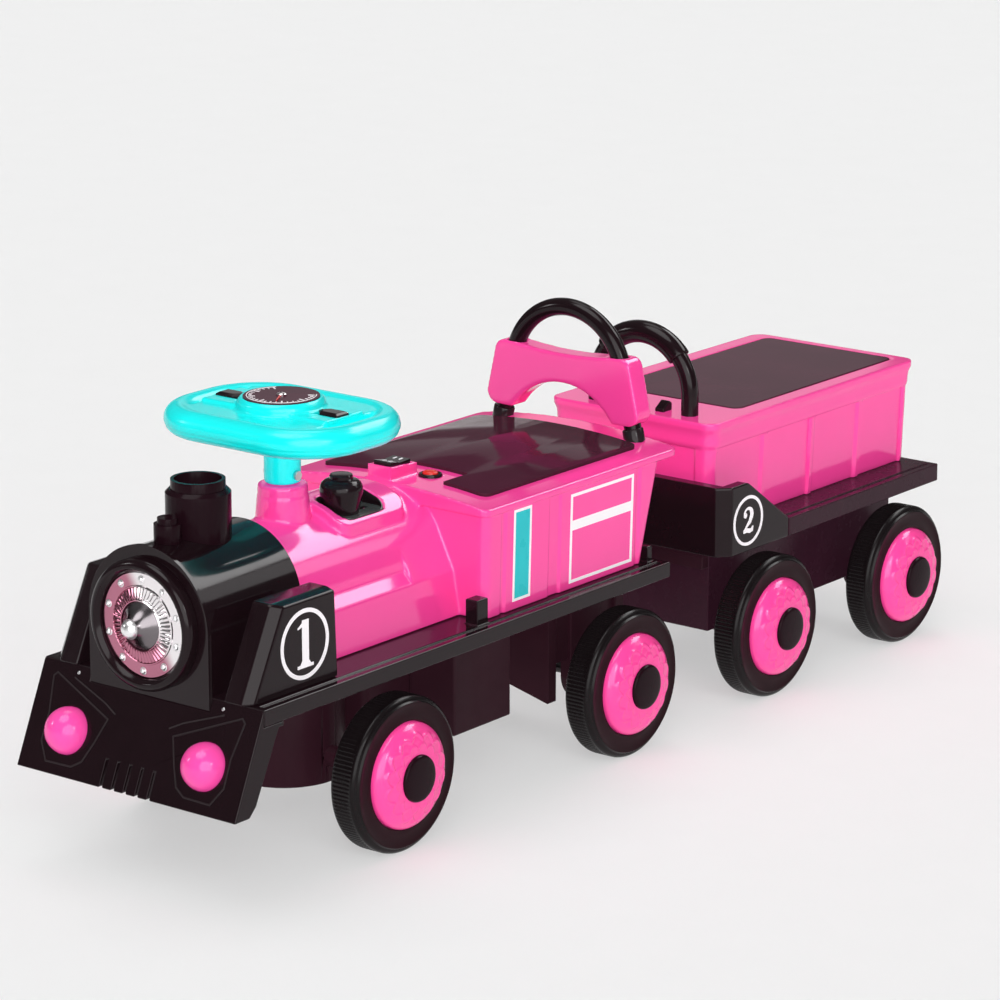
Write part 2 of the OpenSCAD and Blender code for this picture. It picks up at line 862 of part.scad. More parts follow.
// Chimney and whistle, both seated on the round smokebox
module chimney() {
    chimney_r = chimney_d / 2;
    neck_in = chimney_neck_d / 2 - chimney_wall;
    body_top = smokebox_top + chimney_body_h;
    neck_top = body_top + chimney_neck_h;
    whistle_top = smokebox_top + whistle_h - whistle_cap_h;
    sunk = smokebox_top - 14;
    step = 3;
    bore_depth = 12;
    color(black) train() difference() {
        union() {
            translate([0, chimney_y, 0]) difference() {
                union() {
                    translate([0, 0, sunk]) cylinder(r = chimney_r, h = body_top - sunk - step);
                    translate([0, 0, body_top - step])
                        cylinder(r1 = chimney_r, r2 = chimney_r - step, h = step);
                    translate([0, 0, body_top - past])
                        cylinder(r = chimney_neck_d / 2, h = chimney_neck_h + past);
                }
                translate([0, 0, body_top - bore_depth]) cylinder(r = neck_in, h = neck_top);
            }
            translate([0, whistle_y, 0]) {
                translate([0, 0, sunk]) cylinder(r = whistle_d / 2, h = whistle_top - sunk);
                translate([0, 0, whistle_top - past])
                    cylinder(r = whistle_d / 2 - step, h = whistle_cap_h + past);
            }
        }
        along_y(smokebox_front - past, smokebox_rear) translate([0, smokebox_z])
            circle(smokebox_r + seat_gap, $fn = 96);
    }
}

module number_boxes() {
    lean = (number_top_front - number_front) / number_h;
    color(black) train() both_sides() difference() {
        along_x(number_in, number_out) polygon([
            [number_front, body_seat], [number_rear, body_seat],
            [number_top_rear, number_top_z], [number_top_front, number_top_z]]);
        along_x(number_in + number_wall, number_out - number_wall) polygon([
            [number_front + 1.2 * number_wall - past * lean, body_seat - past],
            [number_rear - number_wall, body_seat - past],
            [number_top_rear - number_wall, number_top_z - number_wall],
            [number_top_front + number_wall, number_top_z - number_wall]]);
    }
}

// Outline of the boiler, whose sides run straight from the barrel to the board
module boiler_outline(inset) {
    r = boiler_r - inset;
    foot = [boiler_foot_w / 2 - inset, body_seat];
    top = touch(foot, [0, boiler_z], r);
    difference() {
        translate([0, boiler_z]) circle(r, $fn = 96);
        translate([-2 * r, top[1] - 2 * r]) square([4 * r, 2 * r]);
    }
    low = foot[1] - (inset > 0 ? past : 0);
    polygon([[-foot[0], low], [foot[0], low], foot, top, [-top[0], top[1]], [-foot[0], foot[1]]]);
}

// The cab's tapered walls up to the underside of the roof
module cab_walls(inset) {
    low = body_seat - (inset > 0 ? past : 0);
    foot = cab_foot_w / 2 - inset;
    top = cab_top_w / 2 - inset;
    intersection() {
        along_y(cab_front + inset, cab_top_rear + past)
            polygon([[-foot, low], [foot, low], [top, roof_under + past], [-top, roof_under + past]]);
        along_x(-cab_top_w, cab_top_w) polygon([
            [cab_front + inset, low], [cab_foot_rear - inset, low],
            [cab_top_rear - inset, roof_under + past], [cab_front + inset, roof_under + past]]);
    }
}

// The arched roof, between two heights above its own crown
module roof_slab(half, from, to, lift, floor_z) {
    intersection() {
        along_y(from, to) translate([-half, floor_z]) square([2 * half, roof_top + lift - floor_z]);
        along_y(from, to) translate([0, roof_arc_z]) circle(roof_arc_r + lift, $fn = 256);
    }
}

// Wedge under the rocker switch, at the roof's front edge
module switch_wedge() {
    along_x(switch_x - wedge_w / 2, switch_x + wedge_w / 2) polygon([
        [wedge_front, roof_under], [wedge_rear, roof_under],
        [wedge_rear, roof_top + wedge_rise - wedge_fall], [wedge_front, roof_top + wedge_rise]]);
}

// Places a piece on the wedge's slope, with its own z square to it
module on_wedge() {
    train() translate([switch_x, rocker_y, rocker_z]) rotate([-wedge_slope, 0, 0]) children();
}

// Moulded body: boiler, cab, roof, column foot, saddle pad and switch wedge in one hollow piece
module body_shell() {
    pad_r = boiler_r + pad_rise;
    pin_room = rocker_w + 2 * (move_gap + rocker_pin_len);
    color(pink) difference() {
        train() difference() {
            union() {
                along_y(boiler_front, cab_front + past) boiler_outline(0);
                cab_walls(0);
                roof_slab(roof_w / 2, roof_front, roof_rear, 0, roof_under);
                translate([0, 0, boiler_z]) cylinder(d = column_foot_d, h = boiler_r);
                translate([0, 0, boiler_top])
                    cylinder(d1 = column_foot_d, d2 = column_top_d, h = column_foot_h);
                intersection() {
                    along_y(pad_front, pad_rear) translate([0, boiler_z]) circle(pad_r, $fn = 96);
                    translate([-pad_half, pad_front, boiler_z])
                        cube([2 * pad_half, pad_rear - pad_front, pad_r]);
                }
                switch_wedge();
            }
            difference() {
                union() {
                    along_y(boiler_front + body_wall, cab_front + 2 * body_wall) boiler_outline(body_wall);
                    cab_walls(body_wall);
                }
                // The column, the shift recess, the switch pocket and the tube sockets stay solid inside
                translate([0, 0, boiler_z]) cylinder(d = column_foot_d, h = boiler_r);
                translate([recess_side - block_wall, recess_front - block_wall, recess_floor - lever_depth])
                    cube([recess_w + 2 * block_wall, recess_len + 2 * block_wall, boiler_r]);
                translate([notch_from, wedge_front, roof_under - push_depth])
                    cube([notch_to - notch_from, notch_rear - wedge_front, push_depth + 2 * past]);
                tube_sleeves(leg_boss_r);
            }
            translate([0, 0, boiler_z - past]) cylinder(r = rod_bore_r, h = column_top - boiler_z + 2 * past);
            translate([recess_side, recess_front, recess_floor]) cube([recess_w, recess_len, boiler_r]);
            translate([gate_side, recess_front + block_wall, recess_floor - lever_depth - past])
                cube([gate_slot_w, recess_len - 2 * block_wall, lever_depth + 2 * past]);
            translate([push_x, push_y, roof_under - push_depth - past])
                cylinder(r = push_r + run_gap, h = push_depth + roof_crown + 4 * roof_lip);
            tube_path(tube_r + seat_gap, past);
        }
        on_wedge() {
            translate([0, 0, -rocker_depth / 2 - rocker_end_gap]) cube([rocker_w + 2 * move_gap,
                rocker_len + 2 * rocker_end_gap, rocker_depth + 4 * rocker_rise], center = true);
            translate([0, 0, rocker_pivot]) rotate([0, 90, 0])
                cylinder(r = rocker_pin_r + run_gap, h = pin_room, center = true);
        }
    }
}

// Dark plate in the bottom of the shift recess
module shift_gate() {
    color(maroon) train() difference() {
        translate([recess_side + seat_gap, recess_front + seat_gap, recess_floor + seat_gap])
            cube([recess_w - 2 * seat_gap, recess_len - 2 * seat_gap, gate_t - seat_gap]);
        translate([gate_side, recess_front + block_wall, recess_floor - past])
            cube([gate_slot_w, recess_len - 2 * block_wall, gate_t + 2 * past]);
    }
}

// Knob on a flat stem, which slides along the gate
module shift_lever() {
    waist_z = gate_top + move_gap;
    clear = 2.5;
    head_h = 14;
    bulge_z = boiler_top + pad_rise + clear;
    crown_z = bulge_z + head_h;
    round_r = 7;
    button_r = knob_r / 2;
    button_h = 4.5;
    bevel = 1.5;
    color(black) train() translate([knob_x, knob_y, 0]) {
        translate([-lever_stem_w / 2, -lever_stem_len / 2, recess_floor - lever_depth])
            cube([lever_stem_w, lever_stem_len, waist_z + past - recess_floor + lever_depth]);
        rotate_extrude() polygon(concat(
            [[0, waist_z], [neck_r, waist_z], [neck_r, bulge_z - neck_side], [knob_r, bulge_z]],
            arc([knob_r - round_r, crown_z - round_r], round_r, 0, 90),
            [[button_r, crown_z], [button_r, crown_z + button_h - bevel],
                [button_r - bevel, crown_z + button_h], [0, crown_z + button_h]]));
    }
}

// Rocker on trunnion pins, with two flats that meet over the pivot
module rocker_switch() {
    half = rocker_len / 2;
    hollow = 1.5;
    side_h = 2;
    keel = 1 - rocker_depth;
    color(black) on_wedge() {
        along_x(-rocker_w / 2, rocker_w / 2) polygon([
            [-half, rocker_rise], [0, rocker_rise - hollow], [half, rocker_rise],
            [half, -side_h], [half / 2, keel], [-half / 2, keel], [-half, -side_h]]);
        translate([0, 0, rocker_pivot]) rotate([0, 90, 0])
            cylinder(r = rocker_pin_r, h = rocker_w + 2 * rocker_pin_len, center = true);
    }
}

module push_button() {
    top = roof_top + push_rise;
    foot = roof_under - push_depth + push_travel;
    bevel = 2;
    color(red) train() translate([push_x, push_y, 0]) {
        translate([0, 0, foot]) cylinder(r = push_r, h = top - foot - bevel);
        translate([0, 0, top - bevel]) cylinder(r1 = push_r, r2 = push_r - bevel, h = bevel);
    }
}

// Glossy panel laid along the arched roof
module seat_panel() {
    middle = (seat_front + seat_rear) / 2;
    corner = 8;
    color(maroon) train() difference() {
        intersection() {
            roof_slab(seat_w / 2, seat_front, seat_rear, seat_t, roof_under);
            translate([0, middle, roof_under]) linear_extrude(roof_top) round_rect(seat_w, seat_len, corner);
        }
        along_y(seat_front - past, seat_rear + past) translate([0, roof_arc_z])
            circle(roof_arc_r + seat_gap, $fn = 256);
        translate([notch_from, seat_front - past, roof_under])
            cube([notch_to - notch_from, notch_rear - seat_front + past, roof_top]);
    }
}

// The bent tube's path: an arch with two legs that lean outwards
module tube_path(r, longer) {
    translate([0, tube_y, arch_z]) {
        rotate([90, 0, 0]) rotate([0, 0, leg_lean]) rotate_extrude(angle = 180 - 2 * leg_lean, $fn = 96)
            translate([arch_r, 0]) circle(r);
        for (s = [-1, 1]) rotate([0, -s * leg_lean, 0]) translate([s * arch_r, 0, -leg_len - longer])
            cylinder(r = r - leg_step, h = leg_len + longer + leg_sunk);
    }
}

// Sockets round the tube's feet under the roof
module tube_sleeves(r) {
    intersection() {
        translate([0, tube_y, arch_z]) for (s = [-1, 1]) rotate([0, -s * leg_lean, 0])
            translate([s * arch_r, 0, -leg_len - leg_boss_floor]) cylinder(r = r, h = leg_len);
        translate([-roof_w / 2, 0, 0]) cube([roof_w, roof_rear, roof_top]);
    }
}

module backrest_tube() {
    color(black) train() tube_path(tube_r, 0);
}

// Moulded backrest, cut by an arch below and dished along its top
module backrest() {
    half_top = backrest_top_w / 2;
    half_foot = backrest_foot_w / 2;
    arch_half = backrest_arch_w / 2;
    cut_r = (arch_half * arch_half + backrest_arch_rise * backrest_arch_rise) / (2 * backrest_arch_rise);
    dish = 4;
    dish_half = half_top - 20;
    foot_round = 12;
    top_round = 10;
    lean = 10;
    dish_r = (dish_half * dish_half + dish * dish) / (2 * dish);
    color(pink) train() difference() {
        along_y(tube_y - backrest_t / 2, tube_y + backrest_t / 2) difference() {
            polygon(concat(
                arc([half_foot - foot_round, backrest_z + foot_round], foot_round, -90, 0, 5),
                arc([half_top - top_round, backrest_top_z - top_round], top_round, lean, 90, 5),
                arc([top_round - half_top, backrest_top_z - top_round], top_round, 90, 180 - lean, 5),
                arc([foot_round - half_foot, backrest_z + foot_round], foot_round, 180, 270, 5)));
            translate([0, backrest_z + backrest_arch_rise - cut_r]) circle(cut_r, $fn = 96);
            translate([0, backrest_top_z - dish + dish_r]) circle(dish_r, $fn = 128);
        }
        tube_path(tube_r + seat_gap, past);
    }
}

module battery_box() {
    color(black) train() difference() {
        translate([-battery_w / 2, battery_front, battery_top - battery_h - deck_t + deck_skin])
            cube([battery_w, battery_len, battery_h + deck_t - deck_skin]);
        translate([battery_wall - battery_w / 2, battery_front + battery_wall,
            battery_top - battery_h - deck_t + deck_skin + battery_wall])
            cube([battery_w - 2 * battery_wall, battery_len - 2 * battery_wall, battery_h + deck_t]);
    }
}

// Steering: yoke and axle below the deck, rod through the boiler, wheel on top
module front_yoke() {
    color(black) train() difference() {
        union() {
            translate([0, 0, drum_bottom]) difference() {
                cylinder(r = drum_r, h = yoke_top - drum_bottom, $fn = 96);
                translate([0, 0, -past])
                    cylinder(r = drum_r - drum_wall, h = yoke_top - yoke_t - drum_bottom + past, $fn = 96);
            }
            bushes(0, drum_r - drum_wall);
            translate([0, 0, yoke_top - yoke_boss_h]) cylinder(r = bearing_r, h = yoke_boss_h);
        }
        axle_bore(0);
        translate([0, 0, yoke_top - yoke_boss_h - rod_foot_room])
            cylinder(r = rod_bore_r, h = yoke_boss_h + rod_foot_room + past);
    }
}

module front_axle() {
    color(steel) train() axle_rod(0);
}

module steering_rod() {
    color(steel) train() difference() {
        translate([0, 0, yoke_top - yoke_boss_h]) cylinder(r = rod_r, h = rod_top - yoke_top + yoke_boss_h);
        translate([0, 0, bolt_z]) rotate([0, 90, 0])
            cylinder(r = bolt_r + run_gap, h = socket_d, center = true);
    }
}

// Screw across the socket and the rod
module socket_bolt() {
    head_x = socket_d / 2 + seat_gap;
    color(bright) train() translate([0, 0, bolt_z]) rotate([0, 90, 0]) {
        cylinder(r = bolt_r, h = 2 * head_x, center = true);
        for (s = [-1, 1]) translate([0, 0, s * (head_x + bolt_head_t / 2)])
            cylinder(r = bolt_head_r, h = bolt_head_t, center = true);
    }
}

// One quarter of the rim: a bent corner and half of each neighbouring straight
module rim_quarter() {
    translate([rim_x - rim_corner, rim_y - rim_corner, 0]) {
        rotate_extrude(angle = 90, $fn = 96) translate([rim_corner, 0]) circle(rim_r);
        translate([0, rim_corner, 0]) rotate([0, -90, 0]) cylinder(r = rim_r, h = rim_x - rim_corner);
        translate([rim_corner, 0, 0]) rotate([90, 0, 0]) cylinder(r = rim_r, h = rim_y - rim_corner);
    }
}

module steering_wheel() {
    color(cyan) train() difference() {
        union() {
            translate([0, 0, rim_z]) for (x = [0, 1], y = [0, 1])
                mirror([x, 0, 0]) mirror([0, y, 0]) rim_quarter();
            translate([-block_w / 2, -rim_y, block_floor])
                cube([block_w, 2 * rim_y, rim_top - block_edge_drop - block_floor]);
            translate([-block_w / 2, -block_ridge_w / 2, block_floor])
                cube([block_w, block_ridge_w, block_top - block_floor]);
            translate([0, 0, block_floor])
                cylinder(r = hub_ring_r, h = hub_ring_top - hub_bevel - block_floor);
            translate([0, 0, hub_ring_top - hub_bevel])
                cylinder(r1 = hub_ring_r, r2 = badge_d / 2 + hub_lip, h = hub_bevel);
            translate([0, 0, socket_bottom]) cylinder(d = socket_d, h = rim_z - socket_bottom);
        }
        translate([0, 0, hub_ring_top - badge_t]) cylinder(d = badge_d + 2 * seat_gap, h = badge_t + past);
        translate([0, 0, socket_bottom - past])
            cylinder(r = rod_bore_r, h = rod_top + past + seat_gap - socket_bottom);
        translate([0, 0, bolt_z]) rotate([0, 90, 0])
            cylinder(r = bolt_r + run_gap, h = socket_d + past, center = true);
        both_sides() translate([horn_x, 0, block_top - horn_depth]) linear_extrude(horn_depth + past)
            square([horn_len + 2 * move_gap, horn_w + 2 * move_gap], center = true);
    }
}

// The badge is a bare disc
module steering_badge() {
    color(maroon) train() translate([0, 0, hub_ring_top - badge_t + seat_gap])
        cylinder(d = badge_d, h = badge_t);
}

module horn_button(side) {
    foot = block_top - horn_depth + horn_travel + move_gap;
    color(maroon) train() translate([side * horn_x, 0, foot])
        linear_extrude(block_top + horn_rise - foot) square([horn_len, horn_w], center = true);
}

// Trailer: deck with its axle carriers
module trailer_chassis() {
    inner = trailer_half - cheek_t - seat_gap;
    cheek_rear = trailer_front + cheek_len + seat_gap;
    pan_depth = pan_z - trailer_deck_z;
    color(black) train() difference() {
        union() {
            difference() {
                union() {
                    translate([-inner, board_back + seat_gap, trailer_deck_z])
                        cube([2 * inner, trailer_rear - board_back - seat_gap, trailer_deck_t]);
                    translate([-trailer_half, cheek_rear, trailer_deck_z])
                        cube([2 * trailer_half, trailer_rear - cheek_rear, trailer_deck_t]);
                }
                translate([deck_rim - inner, board_back + deck_rim, trailer_deck_z - past])
                    cube([2 * (inner - deck_rim), trailer_rear - board_back - 2 * deck_rim,
                        pan_depth + past]);
            }
            translate([-under_half, under_front, trailer_deck_z - under_t])
                cube([2 * under_half, under_rear - under_front, under_t + pan_depth + past]);
            for (y = [trailer_axle_1, trailer_axle_2]) {
                cheek(y, under_half, under_wall, pan_z, carrier_half);
                bushes(y, under_half - past);
            }
        }
        translate([under_wall - under_half, under_front + under_wall, trailer_deck_z - under_t - past])
            cube([2 * (under_half - under_wall), under_rear - under_front - 2 * under_wall,
                under_t + pan_depth + past]);
        both_sides() translate([trailer_half - groove_in - groove_w, cheek_rear, deck_top - groove_depth])
            cube([groove_w, trailer_rear - cheek_rear - groove_in, groove_depth + past]);
        for (y = [trailer_axle_1, trailer_axle_2]) axle_bore(y);
    }
}

module trailer_axles() {
    color(steel) train() for (y = [trailer_axle_1, trailer_axle_2]) axle_rod(y);
}

// Bar from under the trailer to the hitch pin
module trailer_drawbar() {
    bar_end = under_front - seat_gap;
    head = 10;
    color(black) train() difference() {
        union() {
            translate([-hitch_half, hitch_y, drawbar_bottom])
                cube([2 * hitch_half, bar_end - hitch_y, hitch_t]);
            translate([0, hitch_y, drawbar_bottom]) cylinder(r = hitch_half, h = hitch_t);
            translate([-under_half, bar_end - head, drawbar_bottom]) cube([2 * under_half, head, hitch_t]);
        }
        translate([0, hitch_y, drawbar_bottom - past]) cylinder(r = pin_r + run_gap, h = hitch_t + 2 * past);
    }
}

// Front board with chamfered corners and two sloping cheeks
module trailer_front_board() {
    low = trailer_deck_z;
    half = trailer_half;
    color(black) train() {
        translate([0, 0, low]) linear_extrude(board_top - low) polygon([
            [board_chamfer - half, trailer_front], [half - board_chamfer, trailer_front],
            [half, trailer_front + board_chamfer],
            [half, board_back], [-half, board_back], [-half, trailer_front + board_chamfer]]);
        both_sides() along_x(half - cheek_t, half) polygon([
            [board_back - past, low], [trailer_front + cheek_len, low], [trailer_front + cheek_len, deck_top],
            [trailer_front + cheek_top, board_top], [board_back - past, board_top]]);
    }
}

// Hollow box with a lip, sunk side panels between ribs, and a closed top that carries the seat
module trailer_box() {
    wall_half = box_half - lip_out;
    foot_half = wall_half - box_foot_in;
    wall_top = box_top - lip_h;
    end = 10;
    skin = box_wall + panel_sink;
    corner = 8;
    first = box_front + end;
    pitch = (box_rear - box_front - 2 * end - rib_w) / box_ribs;
    color(pink) train() difference() {
        union() {
            along_y(box_front + lip_out, box_rear - lip_out) polygon([
                [-foot_half, box_seat], [foot_half, box_seat],
                [wall_half, wall_top + past], [-wall_half, wall_top + past]]);
            translate([0, (box_front + box_rear) / 2, wall_top]) linear_extrude(lip_h)
                round_rect(box_w, box_rear - box_front, corner);
        }
        along_y(box_front + lip_out + box_wall, box_rear - lip_out - box_wall) polygon([
            [skin - foot_half, box_seat - past], [foot_half - skin, box_seat - past],
            [wall_half - skin, box_top - box_wall - inlay_t],
            [skin - wall_half, box_top - box_wall - inlay_t]]);
        for (i = [0:box_ribs - 1]) both_sides()
            translate([0, first + rib_w + i * pitch, 0]) along_y(0, pitch - rib_w) polygon([
                [foot_half - panel_sink, box_seat - past], [box_half, box_seat - past], [box_half, wall_top],
                [wall_half - panel_sink, wall_top]]);
        translate([-trailer_seat_w / 2 - seat_gap, trailer_seat_front - seat_gap, box_top - inlay_t])
            cube([trailer_seat_w + 2 * seat_gap, trailer_seat_len + 2 * seat_gap, inlay_t + past]);
        for (s = [-1, 1]) translate([s * handle_r, handle_y, handle_foot_z - past])
            cylinder(r = tube_r + seat_gap, h = box_top - handle_foot_z + 2 * past);
    }
    color(pink) train() for (s = [-1, 1])
        translate([s * handle_r, handle_y, handle_foot_z - seat_gap]) difference() {
            cylinder(r = handle_boss_r, h = box_top - box_wall - inlay_t - handle_foot_z + past);
            translate([0, 0, -past]) cylinder(r = tube_r + seat_gap, h = box_h);
        }
}

module trailer_seat() {
    color(maroon) train() translate([-trailer_seat_w / 2, trailer_seat_front, box_top - inlay_t + seat_gap])
        cube([trailer_seat_w, trailer_seat_len, inlay_t]);
}

// Half-round handle on two straight legs
module trailer_handle() {
    color(black) train() translate([0, handle_y, handle_z]) {
        rotate([90, 0, 0]) rotate_extrude(angle = 180, $fn = 96) translate([handle_r, 0]) circle(tube_r);
        for (s = [-1, 1]) translate([s * handle_r, 0, handle_foot_z - handle_z])
            cylinder(r = tube_r, h = handle_z - handle_foot_z);
    }
}

module trailer_grip() {
    color(black) train() translate([0, handle_y, handle_z]) rotate([90, 0, 0]) rotate([0, 0, 90 - grip_reach])
        rotate_extrude(angle = 2 * grip_reach, $fn = 96) translate([handle_r, 0]) difference() {
            circle(grip_r);
            circle(tube_r + seat_gap);
        }
}

chassis_deck();
underframe();
front_skirt();
front_lamps();
smokebox();
headlamp_bezel();
headlamp_disc();
chimney();
number_boxes();
body_shell();
shift_gate();
seat_panel();
backrest();
backrest_tube();
battery_box();
rear_axle();
hitch_pin();
steering_wheel();
steering_badge();
steering_rod();
socket_bolt();
front_yoke();
front_axle();
horn_button(1);  // horn_button_left
horn_button(-1);  // horn_button_right
shift_lever();
rocker_switch();
push_button();
trailer_chassis();
trailer_front_board();
trailer_box();
trailer_seat();
trailer_handle();
trailer_grip();
trailer_drawbar();
trailer_axles();
tyre(1, 0);  // tyre_front_left
hub(1, 0);  // hub_front_left
cap(1, 0);  // cap_front_left
tyre(-1, 0);  // tyre_front_right
hub(-1, 0);  // hub_front_right
cap(-1, 0);  // cap_front_right
tyre(1, wheelbase);  // tyre_rear_left
hub(1, wheelbase);  // hub_rear_left
cap(1, wheelbase);  // cap_rear_left
tyre(-1, wheelbase);  // tyre_rear_right
hub(-1, wheelbase);  // hub_rear_right
cap(-1, wheelbase);  // cap_rear_right
tyre(1, trailer_axle_1);  // tyre_trailer_front_left
hub(1, trailer_axle_1);  // hub_trailer_front_left
cap(1, trailer_axle_1);  // cap_trailer_front_left
tyre(-1, trailer_axle_1);  // tyre_trailer_front_right
hub(-1, trailer_axle_1);  // hub_trailer_front_right
cap(-1, trailer_axle_1);  // cap_trailer_front_right
tyre(1, trailer_axle_2);  // tyre_trailer_rear_left
hub(1, trailer_axle_2);  // hub_trailer_rear_left
cap(1, trailer_axle_2);  // cap_trailer_rear_left
tyre(-1, trailer_axle_2);  // tyre_trailer_rear_right
hub(-1, trailer_axle_2);  // hub_trailer_rear_right
cap(-1, trailer_axle_2);  // cap_trailer_rear_right
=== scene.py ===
"""Looks of a ride-on train: a locomotive with a steering wheel, and a hitched box trailer."""
import math

import bmesh
import bpy
from mathutils import Matrix, Vector


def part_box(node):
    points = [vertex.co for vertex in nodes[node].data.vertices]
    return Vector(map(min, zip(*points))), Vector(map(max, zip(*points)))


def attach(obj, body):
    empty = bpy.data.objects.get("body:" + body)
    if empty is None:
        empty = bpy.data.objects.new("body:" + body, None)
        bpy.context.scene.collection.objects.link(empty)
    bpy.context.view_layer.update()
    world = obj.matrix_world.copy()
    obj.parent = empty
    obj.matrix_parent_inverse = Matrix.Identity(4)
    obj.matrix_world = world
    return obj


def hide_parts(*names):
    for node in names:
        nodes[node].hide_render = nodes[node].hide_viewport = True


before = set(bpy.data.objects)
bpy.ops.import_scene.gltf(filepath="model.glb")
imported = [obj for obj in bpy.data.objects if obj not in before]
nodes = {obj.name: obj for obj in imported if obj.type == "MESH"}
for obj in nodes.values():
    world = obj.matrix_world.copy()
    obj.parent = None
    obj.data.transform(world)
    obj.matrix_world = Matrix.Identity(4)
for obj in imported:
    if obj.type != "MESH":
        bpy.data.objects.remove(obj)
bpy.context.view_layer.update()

# Lengths are in millimetres, with Y counted from the front axle, as in the part's source
MM = 0.001
axle_low, axle_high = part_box("front_axle")
FRONT_AXLE = (axle_low[1] + axle_high[1]) / 2 / MM
AXLES = {"front": 0, "rear": 317, "trailer_front": 542, "trailer_rear": 761}
WHEEL_X = 117.5
WHEEL_Z = 67
LAMP_Z = 213
SIDES = {"left": 1, "right": -1}

# Least radius of a turned shape, for profiles that reach their axis
AXIS = 0.01

# Camera that was recovered from the photograph, in metres and degrees, with its lens in millimetres
CAMERA_AT = (2.18238, -2.81094, 1.16677)
CAMERA_AZIMUTH = 38.053
CAMERA_ELEVATION = 14.9885
CAMERA_LENS = 148.568
CAMERA_SENSOR = 36
CAMERA_REACH = 100

# Colours
PINK = (0.97, 0.060, 0.335)
HUB_PINK = (0.96, 0.060, 0.32)
LAMP_PINK = (0.97, 0.075, 0.38)
BLACK = (0.0095, 0.0040, 0.0056)
UNDER = (0.0240, 0.0066, 0.0115)
TYRE = (0.0150, 0.0034, 0.0060)
CAP = (0.0120, 0.0036, 0.0062)
TRAILER = (0.0300, 0.0085, 0.0165)
# Blacker than the tyre's side: painted shade on the shoulder and running face
TREAD_PAINTED_DARK = (0.0060, 0.0040, 0.0046)
CYAN = (0.006, 0.84, 0.83)
PANEL = (0.064, 0.015, 0.030)
ROSE = (0.50, 0.19, 0.27)
# Pale rose of a painted reflection on the headlamp's plate
ROSE_PAINTED_REFLECTION = (0.95, 0.90, 0.92)
BRIGHT = (0.93, 0.92, 0.93)
SMOKED = (0.20, 0.18, 0.19)
STEEL = (0.60, 0.60, 0.61)
DARK_STEEL = (0.05, 0.045, 0.047)
RED = (0.70, 0.020, 0.012)
WHITE = (0.94, 0.90, 0.93)
TEAL = (0.030, 0.53, 0.57)
# Grey of the gate in the recess: a painted sheen on a black plastic gate
GATE_SHEEN_GREY = (0.050, 0.054, 0.053)
FLOOR = (0.845, 0.845, 0.845)
GLOSS_TINT = (1.0, 0.78, 1.0)

# How a moulded surface varies: scales of its noises, their range in use, its grain, and its edges made paler,
# partly as wear and partly as a painted highlight
DRIFT_SCALE = 16
GLOSS_SCALE = 70
GRAIN_SCALE = 1400
NOISE_LOW = 0.3
NOISE_HIGH = 0.7
GLOSS_LEAST = 0.82
GLOSS_MOST = 1.22
GRAIN_DEPTH = 0.0004
WEAR_AND_HIGHLIGHT_FROM = 0.53
WEAR_AND_HIGHLIGHT_TO = 0.64
WEAR_AND_HIGHLIGHT_PALER = 0.05

# Where the headlamp's plate turns pale in a painted reflection: the direction, and its start and end past the
# middle, in metres
REFLECTION_WAY = (0.85, 0, 0.53)
REFLECTION_FROM = 0.004
REFLECTION_TO = 0.018


